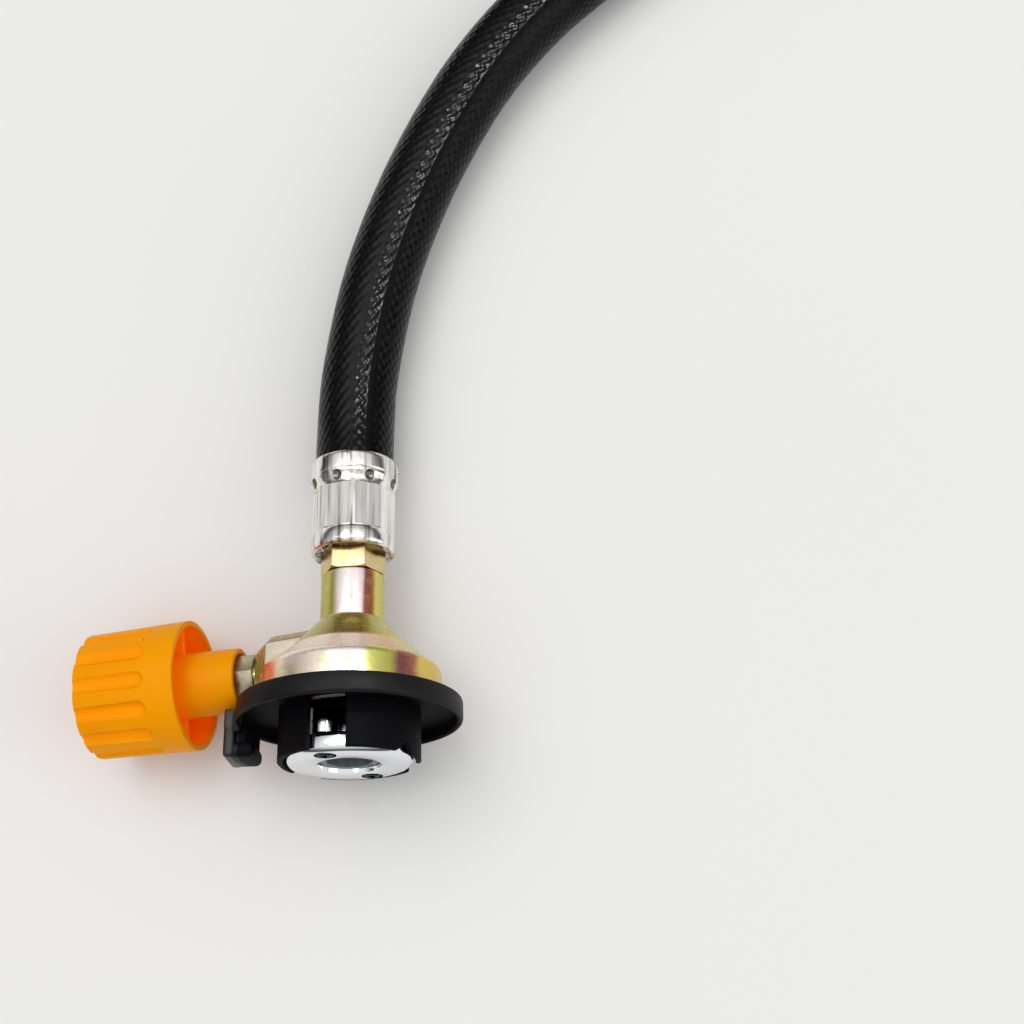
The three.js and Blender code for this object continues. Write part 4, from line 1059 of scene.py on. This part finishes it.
plate = revolve("face_plate", [
    (5.6, PLATE_FRONT + 0.3), (5.7, PLATE_FRONT + 0.1), (5.95, PLATE_FRONT), (10.3, PLATE_FRONT),
    (10.55, PLATE_FRONT + 0.08), (11.2, PLATE_FRONT + 0.75), (11.3, PLATE_FRONT + 1.0),
    (11.3, PLATE_BACK - 0.3), (11.2, PLATE_BACK - 0.08), (11.0, PLATE_BACK),
    (4.8, PLATE_BACK), (4.8, PLATE_BACK - 0.6), (5.6, PLATE_BACK - 0.6),
], 128)
holes = at_screws("hole", SCREW_HOLE, PLATE_FRONT - 1, PLATE_BACK + 1, 32)
seats = at_screws("seat", 1.95, PLATE_FRONT - 1, PLATE_FRONT + 2.2, 40)
carve(plate, together(holes), together(seats))
place_piece(plate, regulator_frame, "regulator", "bright_nickel", "nozzle_plate")
gasket = revolve("gasket_ring", [
    (4.1, -6.6), (4.3, -6.8), (5.1, -6.8), (5.3, -6.6), (5.3, -5.3), (5.1, -5.1), (4.3, -5.1), (4.1, -5.3),
], 96)
place_piece(gasket, regulator_frame, "regulator", "seal_painted_lit_grey", "nozzle_gasket")

# %% [markdown]
# Behind the plate stands the flange: a disc with a hub and two posts, which the screws run through.
# The gap between two claws shows one of the posts. Each screw has a round head with a cross slot.

# %% Flange with posts
POST_FRONT = -3.9

flange = revolve("flange_casting", [
    (5.0, -2.3), (5.0, POST_FRONT), (6.4, POST_FRONT), (6.6, POST_FRONT + 0.2), (6.6, 0.0),
    (6.9, 0.35), (11.1, 0.35), (11.3, 0.55), (11.3, 1.55), (11.1, 1.75), (2.8, 1.75), (2.8, 0.65),
    (1.85, 0.65), (1.85, 0.25), (3.1, 0.25), (3.1, -2.3),
], 96)
weld(flange, *at_screws("post", 2.3, POST_FRONT, 0.8, 40))
carve(flange, together(at_screws("way", SCREW_HOLE, -5, 3, 28)))
place_piece(flange, regulator_frame, "regulator", "flange_steel", "front_flange")

# %% Plate screws
HEAD_RADIUS, HEAD_FRONT, HEAD_BACK, SHANK_RADIUS, SHANK_END = 1.65, -6.9, -5.7, 1.2, 4.35
SLOT_HALF_LENGTH, SLOT_HALF_WIDTH, SLOT_DEPTH = 1.15, 0.25, 0.6


def plate_screw(name, angle):
    screw = bar(name, HEAD_RADIUS, HEAD_FRONT, HEAD_BACK, 36, away=SCREW_CIRCLE, angle=angle)
    soften(screw, 0.3, 40, 3)
    weld(screw, bar("shank", SHANK_RADIUS, HEAD_BACK - 0.2, SHANK_END, 28, away=SCREW_CIRCLE, angle=angle))
    x, z = (SCREW_CIRCLE * turn(math.radians(angle)) for turn in (math.cos, math.sin))
    front, floor = HEAD_FRONT - 0.5, HEAD_FRONT + SLOT_DEPTH
    for a, b in ((SLOT_HALF_LENGTH, SLOT_HALF_WIDTH), (SLOT_HALF_WIDTH, SLOT_HALF_LENGTH)):
        carve(screw, block("slot", (x - a, front, z - b), (x + a, floor, z + b)))
    return screw


for number, angle in enumerate(SCREW_ANGLES, 1):
    screw = plate_screw(f"cross_screw_{number}", angle)
    place_piece(screw, regulator_frame, "regulator", "dark_screw", f"plate_screw_{number}")

# %% [markdown]
# ## Knob
#
# A hollow cap with an inner hub that reaches towards the valve. The shell and the hub are turned,
# two crossed ribs hold the hub, and fourteen flutes with round ends are cut round the closed end.

# %% Knob: shell, hub and ribs
KNOB_OPEN, KNOB_END, OPEN_RADIUS, END_RADIUS, END_EDGE = 29.4, 48.25, 11.98, 11.5, 0.45
HUB_MOUTH, HUB_END, HUB_BORE = 20.5, 46.2, 2.3
RIB_TURN, RIB_LENGTH, RIB_HALF = 21, 10.7, 0.5

end_edge = curve(
    (END_RADIUS + 0.02, KNOB_END - END_EDGE), (END_RADIUS, KNOB_END), (END_RADIUS - END_EDGE, KNOB_END), 4,
)
knob = revolve("knob_moulding", [
    (0, 45.75), (9.8, 45.75), (9.95, 45.6), (10.98, KNOB_OPEN + 0.15), (11.1, KNOB_OPEN), (11.75, KNOB_OPEN),
    (11.93, KNOB_OPEN + 0.08), (OPEN_RADIUS, KNOB_OPEN + 0.28), *end_edge, (0, KNOB_END),
], 168)
hub = revolve("hub", [
    (HUB_BORE, 27.0), (4.75, 27.0), (4.75, HUB_MOUTH + 0.25), (4.95, HUB_MOUTH), (5.55, HUB_MOUTH),
    (5.75, HUB_MOUTH + 0.12), (5.82, HUB_MOUTH + 0.4), (6.3, HUB_END), (HUB_BORE, HUB_END),
], 96)
ribs = []
for turn in (RIB_TURN, RIB_TURN + 90):
    rib = block("rib", (-RIB_LENGTH, KNOB_OPEN + 2, -RIB_HALF), (RIB_LENGTH, 46.0, RIB_HALF), -turn)
    carve(rib, bar("clear", 3.5, 18, 50, 48))
    ribs.append(rib)
weld(knob, *ribs, hub)
print("knob faces:", len(knob.data.polygons))

# %% [markdown]
# The flutes are scalloped grooves. Each cutter is a bar with a ball at its inner end, so that the
# groove runs out round, and all fourteen are one mesh before they cut. A small pip stands on the
# shell, between the flutes and the open end.

# %% Knob: flutes and pip
FLUTES, FLUTE_RADIUS, FLUTE_DEPTH, FLUTE_TURN, FLUTE_LENGTH = 14, 1.9, 0.62, 132.2, 11.9
PIP_RADIUS, PIP_TURN, PIP_AWAY, PIP_AT = 0.6, math.radians(67), 11.75, 36.2

away = END_RADIUS + FLUTE_RADIUS - FLUTE_DEPTH
cutters = []
for k in range(FLUTES):
    angle = FLUTE_TURN + 360 * k / FLUTES
    x, z = away * math.cos(math.radians(angle)), away * math.sin(math.radians(angle))
    cutter = bar("flute", FLUTE_RADIUS, KNOB_END - FLUTE_LENGTH, KNOB_END + 1, 40, away=away, angle=angle)
    weld(cutter, ball("flute_end", FLUTE_RADIUS, (x, KNOB_END - FLUTE_LENGTH, z)))
    cutters.append(cutter)
carve(knob, together(cutters))
pip = ball("pip", PIP_RADIUS, (PIP_AWAY * math.cos(PIP_TURN), PIP_AT, PIP_AWAY * math.sin(PIP_TURN)))
weld(knob, pip)
place_piece(knob, valve_frame, "knob", "orange_plastic", "knob", smooth=30)

# %% [markdown]
# In the mouth of the knob's hub show the gland nut, a plated hexagon, and the brass spindle.

# %% Gland nut and spindle
GLAND_CORNER, GLAND_FOOT, GLAND_TOP, GLAND_TURN = 4.4, 17.5, 21.2, -7
THREAD_RADIUS, THREAD_END, GLAND_BORE = 2.9, 15.1, 1.8
NEEDLE_BORE, NECK_ROD, ROD_RADIUS = 0.8, 1.5, 2.0
ROD_FRONT, ROD_SHOULDER, ROD_END = 9.8, 20.15, 43.0

gland = bar("gland_hexagon", GLAND_CORNER, GLAND_FOOT, GLAND_TOP, 6, turn=GLAND_TURN)
chamfer = revolve("chamfer", [
    (0, 17.0), (4.6, 17.0), (4.6, 20.6), (3.9, GLAND_TOP), (0, GLAND_TOP),
], 64)
combine(gland, chamfer, "INTERSECT")
soften(gland, 0.15, 30, 2)
weld(gland, bar("thread", THREAD_RADIUS, THREAD_END, GLAND_FOOT + 0.3, 48))
carve(gland, bar("bore", GLAND_BORE, 14, 20.5, 40), bar("mouth", 2.35, 19.9, 22, 40))
place_piece(gland, valve_frame, "regulator", "grey_gland", "gland_nut")
spindle = revolve("spindle_rod", [
    (NEEDLE_BORE, ROD_FRONT), (NECK_ROD, ROD_FRONT), (NECK_ROD, ROD_SHOULDER), (1.85, ROD_SHOULDER),
    (ROD_RADIUS, 20.3), (ROD_RADIUS, 42.6), (1.6, ROD_END), (0, ROD_END), (0, 11.5), (NEEDLE_BORE, 11.5),
], 48)
place_piece(spindle, valve_frame, "knob", "turned_brass", "spindle")

# %% [markdown]
# ## Crimped ferrule
#
# The ferrule is a plated sleeve, flared to a bell at the regulator's end and to a collar at the
# hose's end. A die has pressed eight flats into its waist. They are cut as eight slabs. Each flat
# keeps a fine line along its middle from the die's split, and a dimple where it runs into the
# collar. The Boolean hands a cutter's material to the faces that it leaves, so the dimples' balls
# bring their painted shade with them: a darker material that stands for the shade in the dents.

# %% Ferrule: sleeve
WAIST, FLAT, FLATS, FLAT_TURN = 7.8, 7.35, 8, 27.5
FLAT_FROM, FLAT_TO, BELL, CROWN = 3.2, 12.8, 8.05, 8.5
HOSE_WAY, STEM_WAY, BELL_WALL = 6.9, 4.5, (1.4, 2.6)
FLAT_SLOPE, LINE_RADIUS = 1.0, 0.16
DENT_RADIUS, DENT_AWAY, DENT_AT = 1.35, 8.85, 13.4


def ferrule_sleeve(name):
    end = FERRULE_LENGTH
    wall_front, wall_back = BELL_WALL
    return revolve(name, [
        (HOSE_WAY, 0.25), (7.1, 0.05), *curve((7.3, 0), (7.95, 0), (BELL, 1.0), 9), (BELL, 2.3),
        *curve((BELL - 0.01, 2.35), (7.95, 3.1), (WAIST, 3.3), 3), (WAIST, FLAT_TO),
        *curve((WAIST, FLAT_TO + 0.1), (7.95, 13.9), (8.33, 14.4), 3),
        (8.42, 14.9), (8.36, 15.05), (8.44, 15.25), (CROWN, 15.6), (CROWN, end - 1.1),
        *curve((CROWN, end - 1.0), (CROWN, end), (7.7, end), 9), (7.25, end), (6.95, end - 0.3),
        (HOSE_WAY, end - 0.6), (HOSE_WAY, wall_back), (STEM_WAY, wall_back), (STEM_WAY, wall_front),
        (HOSE_WAY, wall_front),
    ], 128)


# %% [markdown]
# A slab lies on each flat. Its inner face is shorter than its outer one, so that the flat ends in a
# slope, as the die leaves it.

# %% Ferrule: flats, lines and dimples
def flat_slab(turn):
    width = 2 * FLAT * math.tan(math.pi / FLATS) + 0.3
    slab = block("slab", (FLAT, FLAT_FROM - 0.6, -width / 2), (FLAT + 2, FLAT_TO + 0.5, width / 2))
    for corner in slab.data.vertices:
        if corner.co.x < (FLAT + 1) * MM:
            is_front = corner.co.y < (FLAT_FROM + FLAT_TO) / 2 * MM
            corner.co.y += FLAT_SLOPE * MM if is_front else -FLAT_SLOPE * MM
    slab.rotation_euler = (0, math.radians(turn), 0)
    return settle(slab)


def make_ferrule(name):
    sleeve = ferrule_sleeve(name)
    slabs, lines, dents = [], [], []
    for k in range(FLATS):
        turn = FLAT_TURN + 360 * k / FLATS
        slabs.append(flat_slab(turn))
        line = bar("line", LINE_RADIUS, FLAT_FROM + 0.9, FLAT_TO - 0.9, 8, away=FLAT + 0.07, angle=-turn)
        lines.append(line)
        x, z = DENT_AWAY * math.cos(math.radians(turn)), -DENT_AWAY * math.sin(math.radians(turn))
        dents.append(ball("dent", DENT_RADIUS, (x, DENT_AT, z)))
        # Painted shade: the dent's faces take a darker material for the shade in the dimple.
        dents[-1].data.materials.append(finishes["painted_dimple_shade"][0])
    for shape in (sleeve, *slabs, *lines):
        shape.data.materials.append(finishes["drawn_tin"][0])
    return carve(sleeve, *slabs, together(lines), together(dents))


ferrule = make_ferrule("crimp_sleeve")
place_piece(ferrule, ferrule_frame, "regulator", "drawn_tin", "ferrule_inlet", smooth=16)

# %% [markdown]
# Between the ferrule and the neck sits the brass stem's hexagon. Its ends are chamfered the way
# such a nut is turned: by intersecting the hexagon with a turned shape.

# %% Stem hexagon
HEX_RADIUS, HEX_FROM, HEX_HEIGHT, HEX_TURN = 6.1, -4.0, 5.0, 26.5
HEX_END_RADIUS, HEX_ROUND_RADIUS, HEX_ROUNDING = 5.5, 6.2, 0.45
STEM_BORE = 2.2


def make_hexagon(name, low, high, turn):
    hexagon = bar(name, HEX_RADIUS, low, high, 6, turn=turn)
    rounding = revolve("rounding", [
        (0, low - 0.1), (HEX_END_RADIUS, low - 0.1), (HEX_ROUND_RADIUS, low + HEX_ROUNDING),
        (HEX_ROUND_RADIUS, high - HEX_ROUNDING), (HEX_END_RADIUS, high + 0.1), (0, high + 0.1),
    ], 96)
    combine(hexagon, rounding, "INTERSECT")
    return soften(hexagon, 0.12, 25, 2)


stem = make_hexagon("stem_hexagon", HEX_FROM, HEX_FROM + HEX_HEIGHT, HEX_TURN)
weld(stem, bar("thread", 3.8, -11.2, HEX_FROM + 0.3, 48))
weld(stem, bar("neck", 4.2, 0.8, 2.9, 48), bar("nipple", 3.6, 2.7, 17.4, 48))
carve(stem, bar("gas_way", STEM_BORE, -12, 19, 40))
place_piece(stem, ferrule_frame, "regulator", "turned_brass", "hose_stem", smooth=28)

# %% [markdown]
# ## Far fitting
#
# At the other end of the hose sit the same ferrule, a stem with a flared nose, and a loose hexagon
# nut that pulls the nose against the appliance.

# %% Outlet ferrule and stem
far_ferrule = make_ferrule("crimp_sleeve_outlet")
place_piece(far_ferrule, outlet_frame, "regulator", "drawn_tin", "ferrule_outlet", smooth=16)
far_stem = revolve("outlet_tail", [
    (STEM_BORE, -16.5), (3.6, -16.5), (3.8, -16.3), (6.4, -14.3), (6.75, -14.2), (6.9, -14.0),
    (6.9, -12.5), (6.8, -12.4), (4.6, -11.4), (4.6, -3.0), (4.2, -3.0), (4.2, 2.9), (3.6, 2.9),
    (3.6, 17.2), (3.2, 17.4), (STEM_BORE, 17.4),
], 80)
far_hexagon = make_hexagon("far_hexagon", -4.6, -1.0, HEX_TURN)
carve(far_hexagon, bar("bore", 4.0, -6, 1, 48))
weld(far_stem, far_hexagon)
place_piece(far_stem, outlet_frame, "regulator", "turned_brass", "outlet_stem", smooth=28)

# %% [markdown]
# The nut is a hexagon whose corners are turned down at both ends. Its bore holds the thread, as
# rings, then a cone for the stem's nose, and a narrow hole that lets the nut spin on the stem.

# %% Swivel nut
NUT_LOW, NUT_HIGH, NUT_HALF, NUT_CHAMFER = -23.4, -5.4, 9.5, 0.9
NUT_CORNER = NUT_HALF / math.cos(math.pi / 6)
THREAD_CREST, THREAD_ROOT, THREAD_START, THREAD_STEP = 7.5, 7.9, -22.4, 0.75
SPIN_BORE = 4.95

nut = bar("swivel_hexagon", NUT_CORNER, NUT_LOW, NUT_HIGH, 6)
rounding = revolve("rounding", [
    (0, NUT_LOW), (NUT_HALF, NUT_LOW), (NUT_CORNER, NUT_LOW + NUT_CHAMFER),
    (NUT_CORNER, NUT_HIGH - NUT_CHAMFER), (NUT_HALF, NUT_HIGH), (0, NUT_HIGH),
], 128)
combine(nut, rounding, "INTERSECT")
soften(nut, 0.18, 25, 2)
thread = [(THREAD_CREST if k % 2 else THREAD_ROOT, THREAD_START + THREAD_STEP * k) for k in range(12)]
bores = revolve("bores", [
    (0, -24.4), (9.0, -24.4), (THREAD_ROOT, -22.9), *thread, (THREAD_CREST, -12.05),
    (SPIN_BORE, -10.7), (SPIN_BORE, -4.4), (0, -4.4),
], 96)
carve(nut, bores)
place_piece(nut, outlet_frame, "swivel_nut", "turned_brass", "swivel_nut", smooth=28)

# %% [markdown]
# With both ends made, the hose's length is printed.

# %% The hose's length
print("cord, m:", round(hose_length, 3))

# %% [markdown]
# ## Inner pieces
#
# The pieces inside are seen only in glimpses, through the plate's hole and the claw gaps. Their CAD
# shapes are right as they are, so they only get their finishes.

# %% Finishes on CAD nodes
INNER = {
    "chamber_cover": "yellow_chromate",
    "inlet_seat": "plain_steel",
    "seat_pad": "seal_rubber",
    "flow_stem": "turned_brass",
    "stem_o_ring": "seal_rubber",
    "spring_seat": "plain_steel",
    "pressure_spring": "plain_steel",
    "diaphragm": "seal_rubber",
    "diaphragm_plate": "plain_steel",
    "stem_nut": "turned_brass",
    "valve_needle": "turned_brass",
    "spindle_o_ring": "seal_rubber",
}
for name, finish in INNER.items():
    node = frame["nodes"][name]
    node.data.materials.clear()
    node.data.materials.append(finishes[finish][0])
print("CAD nodes kept:", len(INNER))

# %% [markdown]
# ## Table and light
#
# The object lies on a plain pale table under soft light. The table is matt, and its tone drifts
# by a hair, as real board does.

# %% Table
TABLE_SIZE = 6  # metres

start_clean()
bpy.ops.mesh.primitive_plane_add(size=TABLE_SIZE)
table = bpy.context.object
table.name = "table"
board = bpy.data.materials.new("pale_table")
board.use_nodes = True
tree = board.node_tree
shader = tree.nodes["Principled BSDF"]
shader.inputs["Roughness"].default_value = 0.9
shader.inputs["Specular IOR Level"].default_value = 0.1
place = tree.nodes.new("ShaderNodeTexCoord").outputs["Object"]
add_tone(tree, shader, place, 4.0, (236, 236, 235), (238, 238, 237), detail=2.0)
table.data.materials.append(board)
print("table, m:", TABLE_SIZE)

# %% [markdown]
# The world is bright above and dark along the horizon, like a light tent: that dark band is what
# metal mirrors at its flanks. Its colour ramp reads the direction's height from the Generated
# coordinates.

# %% World
SKY_STRENGTH = 0.92

world = bpy.data.worlds.new("light_tent")
bpy.context.scene.world = world
world.use_nodes = True
tree = world.node_tree
direction = tree.nodes.new("ShaderNodeTexCoord").outputs["Generated"]
height = add_node(tree, "ShaderNodeSeparateXYZ", {0: direction}).outputs[2]
sky = ramp(tree, height, [
    (0.00, (0.10, 0.10, 0.11, 1)), (0.22, (0.12, 0.12, 0.13, 1)), (0.45, (0.55, 0.55, 0.56, 1)),
    (0.70, (0.95, 0.95, 0.95, 1)),
])
background = tree.nodes["Background"]
tree.links.new(sky, background.inputs["Color"])
background.inputs["Strength"].default_value = SKY_STRENGTH
print("world:", world.name, background.inputs["Strength"].default_value)

# %% [markdown]
# Three lamps. A large one from behind, at the left, gives the soft shadows towards the front. A
# weaker one low at the right lights the flanks there. The third is small and shows only in
# reflections: it puts glints on the hose and the plastics, and casts no shadow on the table.

# %% Lamps
def soft_lamp(name, location, target, size, power):
    start_clean()
    way = Vector(target) - Vector(location)
    bpy.ops.object.light_add(type="AREA", location=location, rotation=way.to_track_quat("-Z", "Y").to_euler())
    lamp = bpy.context.object
    lamp.name = name
    lamp.data.size = size
    lamp.data.energy = power
    return lamp


soft_lamp("key", (-0.5, 0.55, 1.7), (0, 0, 0), 1.2, 9.4)
soft_lamp("fill", (0.95, -0.15, 0.4), (0, 0, 0.02), 0.7, 2.0)
spark = soft_lamp("spark", (0.33, 0.45, 1.0), (0.034, 0.1, 0), 0.08, 4.0)
spark.visible_diffuse = False
